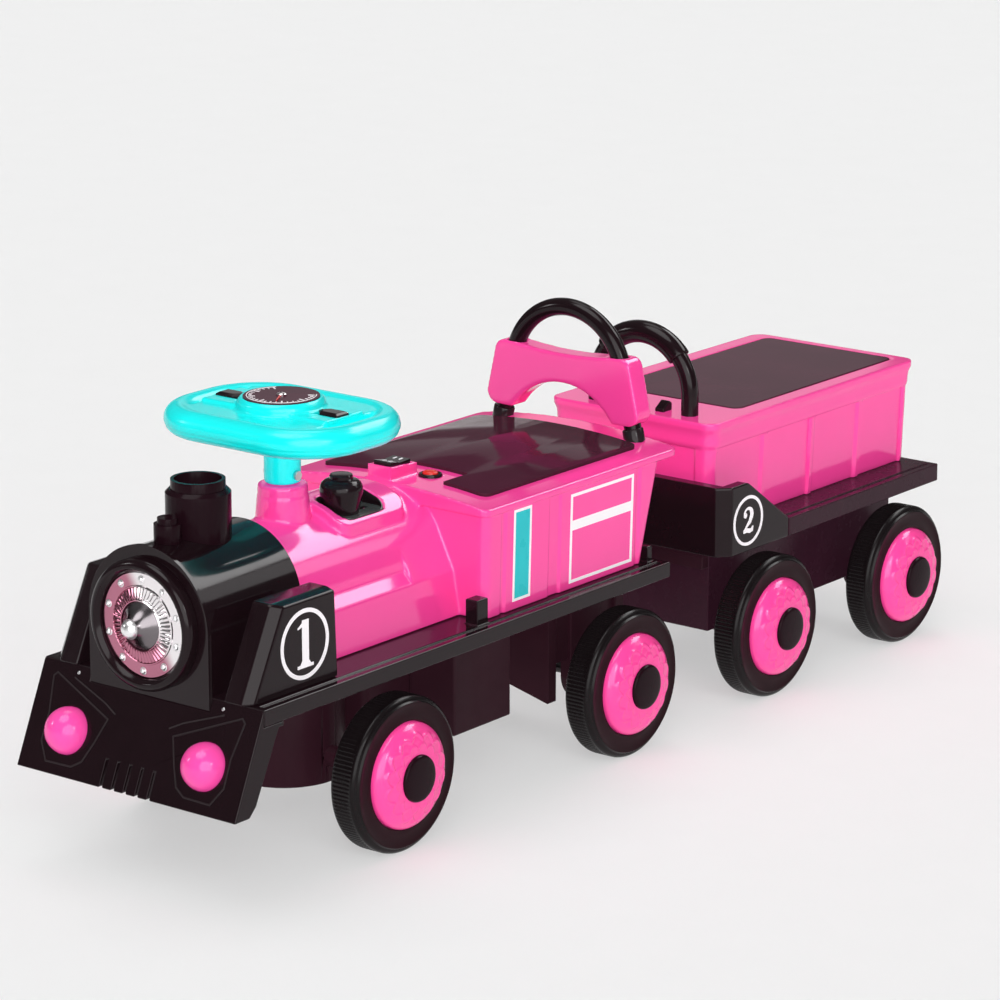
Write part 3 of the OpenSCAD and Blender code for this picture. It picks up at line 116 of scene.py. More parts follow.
# Materials
def material(name, colour, rough, vary=0.06, grain=0.02, metal=0.0, specular=0.5, wear_and_edge_highlight=0.0, tint=(1, 1, 1),
             painted_reflection=None):
    """A moulded surface with slow colour drift, uneven gloss and fine grain.

    Pointiness pales its edges, partly as wear and partly as a painted highlight. A second colour, a painted
    reflection, takes over in the headlamp's upper part on the train's left."""
    mat = bpy.data.materials.new(name)
    mat.use_nodes = True
    tree = mat.node_tree
    bsdf = tree.nodes["Principled BSDF"]
    bsdf.inputs["Metallic"].default_value = metal
    bsdf.inputs["Specular IOR Level"].default_value = specular
    bsdf.inputs["Specular Tint"].default_value = tuple(tint) + (1,)
    coord = tree.nodes.new("ShaderNodeTexCoord")

    def noise(scale, detail):
        """Values of a noise in the object's own space."""
        node = tree.nodes.new("ShaderNodeTexNoise")
        node.inputs["Scale"].default_value = scale
        node.inputs["Detail"].default_value = detail
        tree.links.new(coord.outputs["Object"], node.inputs["Vector"])
        return node.outputs["Fac"]

    drift = tree.nodes.new("ShaderNodeValToRGB")
    drift.color_ramp.elements[0].position = NOISE_LOW
    drift.color_ramp.elements[1].position = NOISE_HIGH
    drift.color_ramp.elements[0].color = [c * (1 - vary) for c in colour] + [1]
    drift.color_ramp.elements[1].color = [min(1, c * (1 + vary)) for c in colour] + [1]
    tree.links.new(noise(DRIFT_SCALE, 4), drift.inputs["Fac"])
    tone = drift.outputs["Color"]
    # Paler edges by pointiness: partly wear, partly a painted highlight
    if wear_and_edge_highlight:
        geometry = tree.nodes.new("ShaderNodeNewGeometry")
        edge = tree.nodes.new("ShaderNodeMapRange")
        edge.inputs["From Min"].default_value = WEAR_AND_HIGHLIGHT_FROM
        edge.inputs["From Max"].default_value = WEAR_AND_HIGHLIGHT_TO
        edge.inputs["To Max"].default_value = wear_and_edge_highlight
        tree.links.new(geometry.outputs["Pointiness"], edge.inputs["Value"])
        mix = tree.nodes.new("ShaderNodeMix")
        mix.data_type = "RGBA"
        mix.inputs["B"].default_value = [c + WEAR_AND_HIGHLIGHT_PALER for c in colour] + [1]
        tree.links.new(edge.outputs["Result"], mix.inputs["Factor"])
        tree.links.new(tone, mix.inputs["A"])
        tone = mix.outputs["Result"]
    # Painted reflection: the plate turns pale towards its upper part on the train's left
    if painted_reflection:
        slant = tree.nodes.new("ShaderNodeVectorMath")
        slant.operation = "DOT_PRODUCT"
        slant.inputs[1].default_value = REFLECTION_WAY
        tree.links.new(coord.outputs["Object"], slant.inputs[0])
        share = tree.nodes.new("ShaderNodeMapRange")
        share.interpolation_type = "SMOOTHSTEP"
        middle = REFLECTION_WAY[2] * LAMP_Z * MM
        share.inputs["From Min"].default_value = middle + REFLECTION_FROM
        share.inputs["From Max"].default_value = middle + REFLECTION_TO
        tree.links.new(slant.outputs["Value"], share.inputs["Value"])
        reflection_mix = tree.nodes.new("ShaderNodeMix")
        reflection_mix.data_type = "RGBA"
        reflection_mix.inputs["B"].default_value = tuple(painted_reflection) + (1,)
        tree.links.new(share.outputs["Result"], reflection_mix.inputs["Factor"])
        tree.links.new(tone, reflection_mix.inputs["A"])
        tone = reflection_mix.outputs["Result"]
    tree.links.new(tone, bsdf.inputs["Base Color"])
    gloss = tree.nodes.new("ShaderNodeMapRange")
    gloss.inputs["From Min"].default_value = NOISE_LOW
    gloss.inputs["From Max"].default_value = NOISE_HIGH
    gloss.inputs["To Min"].default_value = rough * GLOSS_LEAST
    gloss.inputs["To Max"].default_value = rough * GLOSS_MOST
    tree.links.new(noise(GLOSS_SCALE, 6), gloss.inputs["Value"])
    tree.links.new(gloss.outputs["Result"], bsdf.inputs["Roughness"])
    bump = tree.nodes.new("ShaderNodeBump")
    bump.inputs["Strength"].default_value = grain
    bump.inputs["Distance"].default_value = GRAIN_DEPTH
    tree.links.new(noise(GRAIN_SCALE, 3), bump.inputs["Height"])
    tree.links.new(bump.outputs["Normal"], bsdf.inputs["Normal"])
    return mat


pink = material("pink_moulded", PINK, 0.11, vary=0.02, grain=0.008, specular=0.75, tint=GLOSS_TINT)
hub_pink = material("pink_hub", HUB_PINK, 0.16, vary=0.02, grain=0.008, specular=0.6, tint=GLOSS_TINT)
lamp_pink = material("pink_lamp", LAMP_PINK, 0.16, vary=0.06, specular=0.5, tint=GLOSS_TINT)
black = material("black_moulded", BLACK, 0.14, vary=0.08, grain=0.008, specular=0.2, wear_and_edge_highlight=0.35)
trailer_black = material("black_trailer", TRAILER, 0.25, vary=0.08, specular=0.1, wear_and_edge_highlight=0.25)
under_black = material("black_under", UNDER, 0.4, vary=0.10, specular=0.06, wear_and_edge_highlight=0.2)
cap_black = material("black_cap", CAP, 0.2, vary=0.08, grain=0.01, specular=0.07)
barrel_black = material("black_barrel", BLACK, 0.1, vary=0.06, grain=0.006, specular=0.26, wear_and_edge_highlight=0.2)
tyre_black = material("tyre_side", TYRE, 0.34, vary=0.10, grain=0.05, specular=0.08, wear_and_edge_highlight=0.2)
# Painted shade: the tyre's shoulder and running face, blacker than its side
tread_painted_dark = material("tyre_tread_painted_shade", TREAD_PAINTED_DARK, 0.24, vary=0.10, grain=0.05, specular=0.16, wear_and_edge_highlight=0.1)
cyan = material("cyan_moulded", CYAN, 0.22, vary=0.02, specular=0.4)
panel = material("dark_panel", PANEL, 0.09, vary=0.10, grain=0.008, specular=0.02)
# The headlamp's plate: rose metal with a painted reflection in its upper part on the train's left
chrome = material("rose_plate", ROSE, 0.1, vary=0.06, metal=1.0, grain=0.01, painted_reflection=ROSE_PAINTED_REFLECTION)
bright_chrome = material("bright_plate", BRIGHT, 0.32, vary=0.03, metal=1.0, grain=0.01)
dark_chrome = material("smoked_chrome", SMOKED, 0.2, vary=0.05, metal=1.0, grain=0.01)
steel = material("zinc_steel", STEEL, 0.3, vary=0.08, metal=1.0, grain=0.05)
dark_steel = material("dark_steel", DARK_STEEL, 0.35, vary=0.10, metal=1.0, grain=0.05)
red = material("red_moulded", RED, 0.2, vary=0.06, specular=0.4)
white = material("white_print", WHITE, 0.4, vary=0.02, grain=0.04, specular=0.1)
teal = material("teal_print", TEAL, 0.3, vary=0.05, grain=0.02, specular=0.1)
# Painted sheen: the black plastic gate made grey
gate_painted_sheen = material("grey_gate_painted_sheen", GATE_SHEEN_GREY, 0.16, vary=0.10, specular=0.4)


# Mesh building; distances within which points are merged are in metres
MERGE = 1e-6
WELD = 1e-5
PRINT_SINK = 0.4


def at(x, y, z):
    """A point of the part, in metres of the shared frame."""
    return Vector((x, y + FRONT_AXLE, z)) * MM


def to_mesh(points, faces):
    """A mesh from points in millimetres of the part."""
    mesh = bpy.data.meshes.new("shape")
    mesh.from_pydata([at(*p) for p in points], [], faces)
    return tidy(mesh)


def tidy(mesh):
    """Merges doubled points and turns all faces outwards."""
    bm = bmesh.new()
    bm.from_mesh(mesh)
    bmesh.ops.remove_doubles(bm, verts=bm.verts, dist=MERGE)
    bmesh.ops.recalc_face_normals(bm, faces=bm.faces)
    bm.to_mesh(mesh)
    bm.free()
    return mesh


def smooth(mesh, angle=35):
    """Smooth shading, with edges kept crisp above an angle in degrees."""
    mesh.polygons.foreach_set("use_smooth", [True] * len(mesh.polygons))
    mesh.set_sharp_from_angle(angle=math.radians(angle))


def piece(name, mesh, mat, body, stands_for=(), angle=35):
    """Shows a mesh as a piece of the part, riding on a body."""
    obj = bpy.data.objects.new(name, mesh)
    bpy.context.collection.objects.link(obj)
    mesh.materials.clear()
    mesh.materials.append(mat)
    smooth(mesh, angle)
    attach(obj, body)
    if stands_for:
        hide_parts(*stands_for)
    return obj


def bevel(obj, width, segments=3, angle=30):
    """Rounds the edges of an object that are sharper than an angle."""
    mod = obj.modifiers.new("edges", "BEVEL")
    mod.width = width * MM
    mod.segments = segments
    mod.limit_method = "ANGLE"
    mod.angle_limit = math.radians(angle)
    mod.harden_normals = True
    return obj


def join(*meshes):
    """Several meshes as one."""
    bm = bmesh.new()
    for mesh in meshes:
        bm.from_mesh(mesh)
    whole = bpy.data.meshes.new("joined")
    bm.to_mesh(whole)
    bm.free()
    return whole


def loft(rings, close_ends=True):
    """Faces between rings of equally many points, as points and faces."""
    count = len(rings[0])
    points = [p for ring in rings for p in ring]
    faces = []
    for i in range(len(rings) - 1):
        for j in range(count):
            k = (j + 1) % count
            faces.append([i * count + j, i * count + k, (i + 1) * count + k, (i + 1) * count + j])
    if close_ends:
        faces.append(list(range(count))[::-1])
        faces.append([(len(rings) - 1) * count + j for j in range(count)])
    return points, faces


def along_y(outline, y_from, y_to):
    """A closed X-Z outline drawn out along Y."""
    return to_mesh(*loft([[(x, y, z) for x, z in outline] for y in (y_from, y_to)]))


def along_x(outline, x_from, x_to):
    """A closed Y-Z outline drawn out along X."""
    return to_mesh(*loft([[(x, y, z) for y, z in outline] for x in (x_from, x_to)]))


def along_z(outline, z_from, z_to):
    """A closed X-Y outline drawn out along Z."""
    return to_mesh(*loft([[(x, y, z) for x, y in outline] for z in (z_from, z_to)]))


def rectangle(x_from, x_to, y_from, y_to):
    """The corners of a rectangle in X and Y."""
    return [(x_from, y_from), (x_to, y_from), (x_to, y_to), (x_from, y_to)]


def round_rect(x_half, y_from, y_to, r, steps=8):
    """A rectangle with round corners in X and Y."""
    middle, half = (y_from + y_to) / 2, (y_to - y_from) / 2
    points = []
    for sx, sy, start in ((1, 1, 0), (-1, 1, 90), (-1, -1, 180), (1, -1, 270)):
        for i in range(steps + 1):
            a = math.radians(start + 90 * i / steps)
            points.append((sx * (x_half - r) + r * math.cos(a), middle + sy * (half - r) + r * math.sin(a)))
    return points


def turned(profile, centre, axis, steps=96, ripple=None):
    """A profile of (radius, height) turned about an axis from a centre.

    ripple(angle, radius, height) returns a point's new radius and height."""
    up = Vector({"x": (1, 0, 0), "-y": (0, -1, 0), "z": (0, 0, 1)}[axis])
    first = Vector({"x": (0, 1, 0), "-y": (1, 0, 0), "z": (1, 0, 0)}[axis])
    second = up.cross(first)
    points, faces = [], []
    count = len(profile)
    for i in range(steps):
        a = 2 * math.pi * i / steps
        out = first * math.cos(a) + second * math.sin(a)
        for r, h in profile:
            if ripple:
                r, h = ripple(a, r, h)
            points.append(tuple(Vector(centre) + out * r + up * h))
    for i in range(steps):
        k = (i + 1) % steps
        for j in range(count - 1):
            faces.append([i * count + j, k * count + j, k * count + j + 1, i * count + j + 1])
    return to_mesh(points, faces)


def arc(cx, cy, r, start, end, steps=8):
    """Points of an arc between two angles in degrees."""
    turn = [math.radians(start + (end - start) * i / steps) for i in range(steps + 1)]
    return [(cx + r * math.cos(a), cy + r * math.sin(a)) for a in turn]


def ribbon(points, widths, place, rise=0.4, closed=False):
    """A flat raised line through points of a surface.

    place(a, b, height) gives the surface's points in space."""
    count = len(points)
    rings = []
    for i in range(count):
        here = Vector(points[i])
        before = here - Vector(points[i - 1]) if i or closed else None
        after = Vector(points[(i + 1) % count]) - here if i < count - 1 or closed else None
        first = (before or after).normalized()
        second = (after or before).normalized()
        way = (first + second).normalized()
        across = Vector((-way.y, way.x))
        mitre = 1 / max(0.5, across.dot(Vector((-first.y, first.x))))
        reach = across * (widths[i] / 2 * mitre)
        left, right = here + reach, here - reach
        rings.append([place(left.x, left.y, -PRINT_SINK), place(left.x, left.y, rise),
                      place(right.x, right.y, rise), place(right.x, right.y, -PRINT_SINK)])
    if closed:
        rings.append(rings[0])
    return to_mesh(*loft(rings, not closed))


def boolean(base, others, operation):
    """A mesh united with, cut by or kept inside other meshes."""
    scratch = bpy.data.objects.new("scratch", base)
    bpy.context.collection.objects.link(scratch)
    tools = []
    for other in others:
        tool = bpy.data.objects.new("tool", other)
        bpy.context.collection.objects.link(tool)
        tools.append(tool)
        mod = scratch.modifiers.new("cut", "BOOLEAN")
        mod.operation = operation
        mod.solver = "EXACT"
        mod.object = tool
    result = baked(scratch)
    for obj in tools + [scratch]:
        bpy.data.objects.remove(obj)
    return result


def baked(obj):
    """The mesh of an object with its modifiers applied."""
    graph = bpy.context.evaluated_depsgraph_get()
    graph.update()
    return bpy.data.meshes.new_from_object(obj.evaluated_get(graph))


def moulded(mesh, voxel, passes, press=None):
    """A mesh remade in small even faces with all its edges rounded.

    press(x, y, z) then returns a point's new place."""
    scratch = bpy.data.objects.new("scratch", mesh)
    bpy.context.collection.objects.link(scratch)
    remesh = scratch.modifiers.new("voxels", "REMESH")
    remesh.mode = "VOXEL"
    remesh.voxel_size = voxel * MM
    ease = scratch.modifiers.new("ease", "SMOOTH")
    ease.factor = 0.5
    ease.iterations = passes
    result = baked(scratch)
    bpy.data.objects.remove(scratch)
    if press:
        for vertex in result.vertices:
            x, y, z = vertex.co / MM
            vertex.co = at(*press(x, y - FRONT_AXLE, z))
    return result


def ease_step(value, start, end):
    """A soft step from 0 at start to 1 at end."""
    t = min(1.0, max(0.0, (value - start) / (end - start)))
    return t * t * (3 - 2 * t)


def copy_of(node):
    """A copy of a CAD node's mesh."""
    return nodes[node].data.copy()


def dress(node, mat, width=None):
    """Gives a CAD node that stays its finish and, with a width, rounded edges."""
    obj = nodes[node]
    for slot in obj.material_slots:
        slot.material = mat
    if width:
        weld = obj.modifiers.new("weld", "WELD")
        weld.merge_threshold = WELD
        bevel(obj, width)


# Wheels, turned round the origin with the outside along +X
TYRE_R = 67
TYRE_HALF = 14.5
TYRE_BORE = 5.3
TREAD_RIBS = 120
TREAD_DEPTH = 0.6
TREAD_OUT = 7.5
PAINTED_DARK_FROM = 61.8
WEB_OUT = 5.5
HUB_R = 45.5
HUB_TOP = 26.5
HUB_BORE = 10.5
WELL_DEPTH = 4
CAP_R = 20
CAP_TOP = 30.5
SCALLOPS = 14
FIT = 0.3
DOME_STEPS = 48


def tread(angle, r, h):
    """Fine cross grooves in the running face of a tyre."""
    on_face = r > TYRE_R - FIT and h < TREAD_OUT
    if on_face and math.sin(TREAD_RIBS * angle + math.pi / 4) < 0:
        return r - TREAD_DEPTH, h
    return r, h


def scallops(angle, r, h):
    """Two rows of raised arcs on the hub's dome, the inner ones between the outer ones."""
    outer = 33 + 5.2 * abs(math.sin(SCALLOPS / 2 * angle))
    inner = 25 + 4.2 * abs(math.cos(SCALLOPS / 2 * angle))
    lift = 1.0 * math.exp(-((r - outer) / 1.5) ** 2) + 0.6 * math.exp(-((r - inner) / 1.3) ** 2)
    return r, h + lift * (r > CAP_R + 1)


def paint_tread_shade(mesh, centre):
    """Gives a tyre's shoulder and running face a finish of their own, whose blacker colour is painted shade.
    """
    mesh.materials.append(tread_painted_dark)
    for face in mesh.polygons:
        off = face.center - centre
        if math.hypot(off.y, off.z) > PAINTED_DARK_FROM * MM:
            face.material_index = 1


def wheel_meshes():
    """Meshes of a tyre, a hub and a cap."""
    origin = (0, -FRONT_AXLE, 0)
    side = TYRE_HALF
    seat = HUB_R + FIT
    tyre = [(TYRE_BORE, WEB_OUT), (seat, WEB_OUT), (seat, side - 2), (HUB_R + 0.9, side - 0.7)]
    tyre += [(47.6, side - 0.2), (51, side - 0.8), (56, side - 0.9), (59.4, side - 0.4), (60.6, side)]
    tyre += [(61.6, side - 0.1), (62.2, side - 0.9), (62.7, side - 1.7)]
    tyre += arc(TYRE_R - 4.6, side - 6.4, 4.6, 78, 0, 8)
    tyre += [(TYRE_R, h) for h in (7.4, 4, 0, -5, -8)]
    tyre += arc(TYRE_R - 6, side - 23, 6, 0, -90, 6)
    tyre += [(53, -side), (50.6, 1 - side), (50, 2 - side), (50, -5), (49, -4)]
    tyre += [(15, -4), (14, -5), (14, 0.6 - side), (13.4, -side), (TYRE_BORE, -side), (TYRE_BORE, WEB_OUT)]
    well_r = CAP_R + FIT
    foot = side - 0.2
    dome = []
    for i in range(DOME_STEPS + 1):
        a = math.radians(90 * i / DOME_STEPS)
        dome.append((well_r + (HUB_R - well_r) * math.cos(a), foot + (HUB_TOP - foot) * math.sin(a)))
    well = HUB_TOP - WELL_DEPTH
    back = WEB_OUT + FIT
    hub = [(HUB_BORE, back), (HUB_R, back), (HUB_R, side - 1)] + dome
    hub += [(well_r, well), (HUB_BORE, well), (HUB_BORE, back)]
    cap = [(AXIS, well + 0.2), (CAP_R, well + 0.2), (CAP_R, CAP_TOP - 3)]
    cap += arc(CAP_R - 2.2, CAP_TOP - 3.2, 2.2, 10, 70, 5)
    cap += [(16.4, CAP_TOP - 0.8), (13, CAP_TOP - 0.5), (9, CAP_TOP - 0.25), (5, CAP_TOP - 0.05)]
    cap += [(AXIS, CAP_TOP)]
    tyre_shape = turned(tyre, origin, "x", 480, tread)
    hub_shape = turned(hub, origin, "x", 240, scallops)
    return tyre_shape, hub_shape, turned(cap, origin, "x", 96)


tyre_mesh, hub_mesh, cap_mesh = wheel_meshes()
for axle, axle_y in AXLES.items():
    for side_name, side in SIDES.items():
        body = "wheel_%s_%s" % (axle, side_name)
        place = Matrix.Translation(at(side * WHEEL_X, axle_y, WHEEL_Z))
        if side < 0:
            place = place @ Matrix.Rotation(math.pi, 4, "Z")
        for kind, shape, mat, slot in (("tyre", tyre_mesh, tyre_black, "tyre_plastic"),
                                       ("hub", hub_mesh, hub_pink, "hub_plastic"),
                                       ("cap", cap_mesh, cap_black, "black_plastic")):
            mesh = shape.copy()
            mesh.transform(place)
            node = "%s_%s_%s" % (kind, axle, side_name)
            look = piece("%s_look_%s_%s" % (kind, axle, side_name), mesh, mat, body, [node])
            if kind == "tyre":
                paint_tread_shade(look.data, place.translation)

# Body: boiler, cab, roof, column foot, saddle pad and switch wedge, moulded as one piece
BOILER_Z = 207
BOILER_R = 61
BOILER_FOOT = 77
BOILER_FRONT = -49.8
BOILER_REAR = 142
SHOULDER = (70.5, 201.5)
SHOULDER_END = 84
BODY_FLOOR = 162.2
ROOF_UNDER = 254.5
ROOF_TOP = 270
ROOF_HALF = 112
ROOF_FRONT = 130
ROOF_REAR = 408
ROOF_RISE = 9
ROOF_ARC_R = (ROOF_HALF ** 2 + ROOF_RISE ** 2) / (2 * ROOF_RISE)
CAB_FOOT = 103.5
CAB_SPREAD = 2.5
CAB_FRONT = 138
CAB_REAR = 367
CAB_LEAN = 24
CORNER_R = 9
CAB_BANDS = ((160, 167), (227, 244), (353.5, 360))
BAND_DEPTH = 1.8
COLUMN_TOP = 295.8
PAD_HIGH = 8
KNOB_X = 22
RECESS_HALF = 19
RECESS_FRONT = 30
RECESS_REAR = 88
RECESS_R = 12
SWITCH_X = -7
SWITCH_HALF = 13
WEDGE_FRONT = 133
WEDGE_REAR = 169
WEDGE_HIGH = 282
WEDGE_LOW = 280
PUSH = (19, 171, 0)


def boiler_outline(start):
    """The barrel, down to an angle from the level, on a shoulder and nearly upright sides."""
    side = [(BOILER_FOOT, BODY_FLOOR), SHOULDER]
    return side + arc(0, BOILER_Z, BOILER_R, start, 180 - start, 96) + [(-x, z) for x, z in side[::-1]]


def roof_outline():
    """The arched roof's section."""
    centre = ROOF_TOP - ROOF_ARC_R
    turn = math.degrees(math.asin(ROOF_HALF / ROOF_ARC_R))
    arch = arc(0, centre, ROOF_ARC_R, 90 - turn, 90 + turn, 64)
    return [(ROOF_HALF, ROOF_UNDER)] + arch + [(-ROOF_HALF, ROOF_UNDER)]


def cab():
    """The cab's walls, with round upright corners, lofted from foot to roof."""
    rings = []
    for share in (0, 0.25, 0.5, 0.75, 1):
        z = BODY_FLOOR + share * (ROOF_UNDER + 1 - BODY_FLOOR)
        half = CAB_FOOT + CAB_SPREAD * share
        outline = round_rect(half, CAB_FRONT, CAB_REAR + CAB_LEAN * share, CORNER_R)
        rings.append([(x, y, z) for x, y in outline])
    return to_mesh(*loft(rings))


def column():
    """The column foot: a cone with a ring line near its top and a fillet on the boiler."""
    flare = [(26, 248), (24.8, 254), (23.9, 260), (23.3, 268), (22.6, 276), (21.6, 286.2), (20.8, 286.8)]
    flare += [(20.8, 288), (21.3, 288.6), (20.8, 294.6), (20, COLUMN_TOP)]
    return turned([(AXIS, 230), (27, 230)] + flare + [(AXIS, COLUMN_TOP)], (0, 0, 0), "z", 72)


def saddle():
    """The raised pad under the shift lever."""
    barrel = along_y(arc(0, BOILER_Z, BOILER_R + PAD_HIGH, 30, 150, 60), 10, 130)
    return boolean(barrel, [along_z(round_rect(45, 22, 111, 13), 220, 300)], "INTERSECT")


def sunk(value, start, end, soft=1.6):
    """1 inside a range and 0 outside it, with soft ends."""
    return ease_step(value, start, start + soft) * (1 - ease_step(value, end - soft, end))


def body_press(x, y, z):
    """Upright sunk bands in the cab's sides."""
    if abs(x) > CAB_FOOT - 6.5 and z < ROOF_UNDER - 2 and y > CAB_FRONT:
        for start, end in CAB_BANDS:
            x -= math.copysign(BAND_DEPTH * sunk(y, start, end), x)
    return x, y, z


def roof():
    """The arched roof, with round corners."""
    corners = along_z(round_rect(ROOF_HALF, ROOF_FRONT, ROOF_REAR, CORNER_R), 240, 290)
    return boolean(along_y(roof_outline(), ROOF_FRONT, ROOF_REAR), [corners], "INTERSECT")


def wedge():
    """The sloping block under the rocker."""
    outline = [(WEDGE_FRONT, 252), (WEDGE_REAR, 252), (WEDGE_REAR, WEDGE_LOW), (WEDGE_FRONT, WEDGE_HIGH)]
    return along_x(outline, SWITCH_X - SWITCH_HALF, SWITCH_X + SWITCH_HALF)


def bore(r, low, high, centre, steps):
    """A round hole's room."""
    return turned([(AXIS, low), (r, low), (r, high), (AXIS, high)], centre, "z", steps)


def round_knob(half, y_from, y_to, r, steps=8):
    """A rectangle with round corners about the shift lever's line."""
    return [(x + KNOB_X, y) for x, y in round_rect(half, y_from, y_to, r, steps)]


def rocker_place():
    """The middle of the wedge's slope."""
    middle = at(SWITCH_X, (WEDGE_FRONT + WEDGE_REAR) / 2, (WEDGE_HIGH + WEDGE_LOW) / 2)
    slope = math.atan2(WEDGE_HIGH - WEDGE_LOW, WEDGE_REAR - WEDGE_FRONT)
    return Matrix.Translation(middle) @ Matrix.Rotation(-slope, 4, "X")


body_mesh = along_y(boiler_outline(4), BOILER_FRONT, BOILER_REAR)
swell = along_y(boiler_outline(30), SHOULDER_END, BOILER_REAR)
body_mesh = boolean(body_mesh, [swell, cab(), roof(), column(), saddle(), wedge()], "UNION")
recess = along_z(round_knob(RECESS_HALF, RECESS_FRONT, RECESS_REAR, RECESS_R), 259.9, 300)
gate_slot = along_z(rectangle(17, 27, 34, 84), 240, 261)
push_bore = bore(9.7, 238, 290, PUSH, 48)
rod_bore = bore(6.4, 150, 300, (0, 0, 0), 32)
rocker_frame = rocker_place()
pocket = along_z([(x, y - FRONT_AXLE) for x, y in rectangle(-10, 10, -14.2, 14.2)], -12, 12)
pocket.transform(rocker_frame)
body_mesh = boolean(body_mesh, [recess, gate_slot, push_bore, rod_bore, pocket], "DIFFERENCE")
body_mesh = moulded(body_mesh, 1.2, 4, body_press)
piece("body_look", body_mesh, pink, "locomotive", ["body_shell"], angle=60)

# Trailer box: tapered walls with sunk panels, a lip with a cove and a closed top with an inlaid seat
BOX_FRONT = 485
BOX_REAR = 829
BOX_FLOOR = 162.2
BOX_TOP = 263.2
LIP_LOW = BOX_TOP - 24
RIB_W = 6
RIB_DEPTH = 2.6
END_DEPTH = 2.0
END_PANEL = 68
RIBS = 4
RIB_FIRST = BOX_FRONT + 9
RIB_PITCH = (BOX_REAR - BOX_FRONT - 18 - RIB_W) / RIBS


def box_press(x, y, z):
    """Sunk panels between the ribs of the box's sides and ends."""
    if z < LIP_LOW - 1 and abs(x) > 80:
        for i in range(RIBS):
            start = RIB_FIRST + RIB_W + i * RIB_PITCH
            x -= math.copysign(RIB_DEPTH * sunk(y, start, start + RIB_PITCH - RIB_W, 1.2), x)
    if z < LIP_LOW - 1 and (y < BOX_FRONT + 8 or y > BOX_REAR - 8):
        inward = 1 if y < (BOX_FRONT + BOX_REAR) / 2 else -1
        for start in (-72, 4):
            y += inward * END_DEPTH * sunk(x, start, start + END_PANEL)
    return x, y, z


LIP_HALF = 94
box_rings = [[(x, y, z) for x, y in round_rect(half, BOX_FRONT + 4, BOX_REAR - 4, 12)]
             for half, z in ((86, BOX_FLOOR), (87, BOX_FLOOR + 4), (90, LIP_LOW + 1))]
lip_rings = []
for half, up in ((91.0, 0), (91.6, 2.5), (91.8, 9), (92.3, 13), (93.2, 16), (LIP_HALF, 18), (LIP_HALF, 24)):
    outline = round_rect(half, BOX_FRONT + LIP_HALF - half, BOX_REAR - LIP_HALF + half, 14)
    lip_rings.append([(x, y, LIP_LOW + up) for x, y in outline])
box_mesh = boolean(to_mesh(*loft(box_rings)), [to_mesh(*loft(lip_rings))], "UNION")
inlay = along_z(round_rect(74.5, 552.5, 817.5, 9), BOX_TOP - 2, BOX_TOP + 10)
box_mesh = boolean(box_mesh, [inlay], "DIFFERENCE")
box_mesh = moulded(box_mesh, 1.3, 4, box_press)
piece("box_look", box_mesh, pink, "trailer", ["trailer_box"], angle=60)
seat_mesh = along_z(round_rect(74, 553, 817, 8.5), BOX_TOP - 2.6, BOX_TOP + 0.2)
bevel(piece("trailer_seat_look", seat_mesh, panel, "trailer", ["trailer_seat"]), 0.8)
for side_name, side in SIDES.items():
    outline = [(499, -0.3), (513, -0.3), (513, 7), (509, 9.5), (499, 3)]
    latch = along_x([(y, BOX_TOP + up) for y, up in outline], side * 24 - 5, side * 24 + 5)
    bevel(piece("latch_" + side_name, latch, black, "trailer"), 1.2)

# Backrest, remade from its solid with full edges, and collars round the tube's feet
TUBE_LEAN = math.radians(13)
backrest = moulded(copy_of("backrest"), 1.3, 14)
piece("backrest_look", backrest, pink, "locomotive", ["backrest"], angle=70)
for side_name, side in SIDES.items():
    collar_profile = [(8.2, -6), (9.6, -6), (9.6, 4.6), (9.0, 5.6), (8.2, 5.8), (8.2, -6)]
    collar = turned(collar_profile, (0, -FRONT_AXLE, 0), "z", 48)
    spot = Matrix.Translation(at(side * 73.6, 392, 270))
    collar.transform(spot @ Matrix.Rotation(-side * TUBE_LEAN, 4, "Y"))
    piece("tube_collar_" + side_name, collar, black, "locomotive")

# Steering wheel, remade from its solid, with a parting line round the rim and room for its buttons
PARTING_Z = 344.5
PARTING_HALF = 0.8
PARTING_SHARE = 0.007
BUTTON_X = 53
BUTTON_TOP = 365
BUTTON_LOW = BUTTON_TOP - 8
BUTTON_ROOM = [(-13.8, 0), (-5.3, -8.7), (13.7, -8.7), (13.7, 8.7), (-5.3, 8.7)]


def rim_press(x, y, z):
    """The line where the two halves of the rim meet."""
    depth = PARTING_SHARE * math.exp(-((z - PARTING_Z) / PARTING_HALF) ** 2)
    if abs(x) > 80 or abs(y) > 55:
        return x * (1 - depth), y * (1 - depth), z
    return x, y, z


rooms = [along_z([(side * (BUTTON_X + x), y) for x, y in BUTTON_ROOM], BUTTON_LOW - 3, BUTTON_TOP + 6)
         for side in SIDES.values()]
steering_mesh = boolean(moulded(copy_of("steering_wheel"), 1.2, 10, rim_press), rooms, "DIFFERENCE")
piece("steering_look", steering_mesh, cyan, "steering", ["steering_wheel"], angle=70)

# Dial on the steering wheel's disc: ticks, a ring and a needle
DIAL_Z = 370.2
TICKS = 24
TICKS_FROM = 215
TICKS_OVER = 250


def on_dial(a, b, h):
    """A point of the dial, whose own up points to the front."""
    return -a, -b, DIAL_Z + h


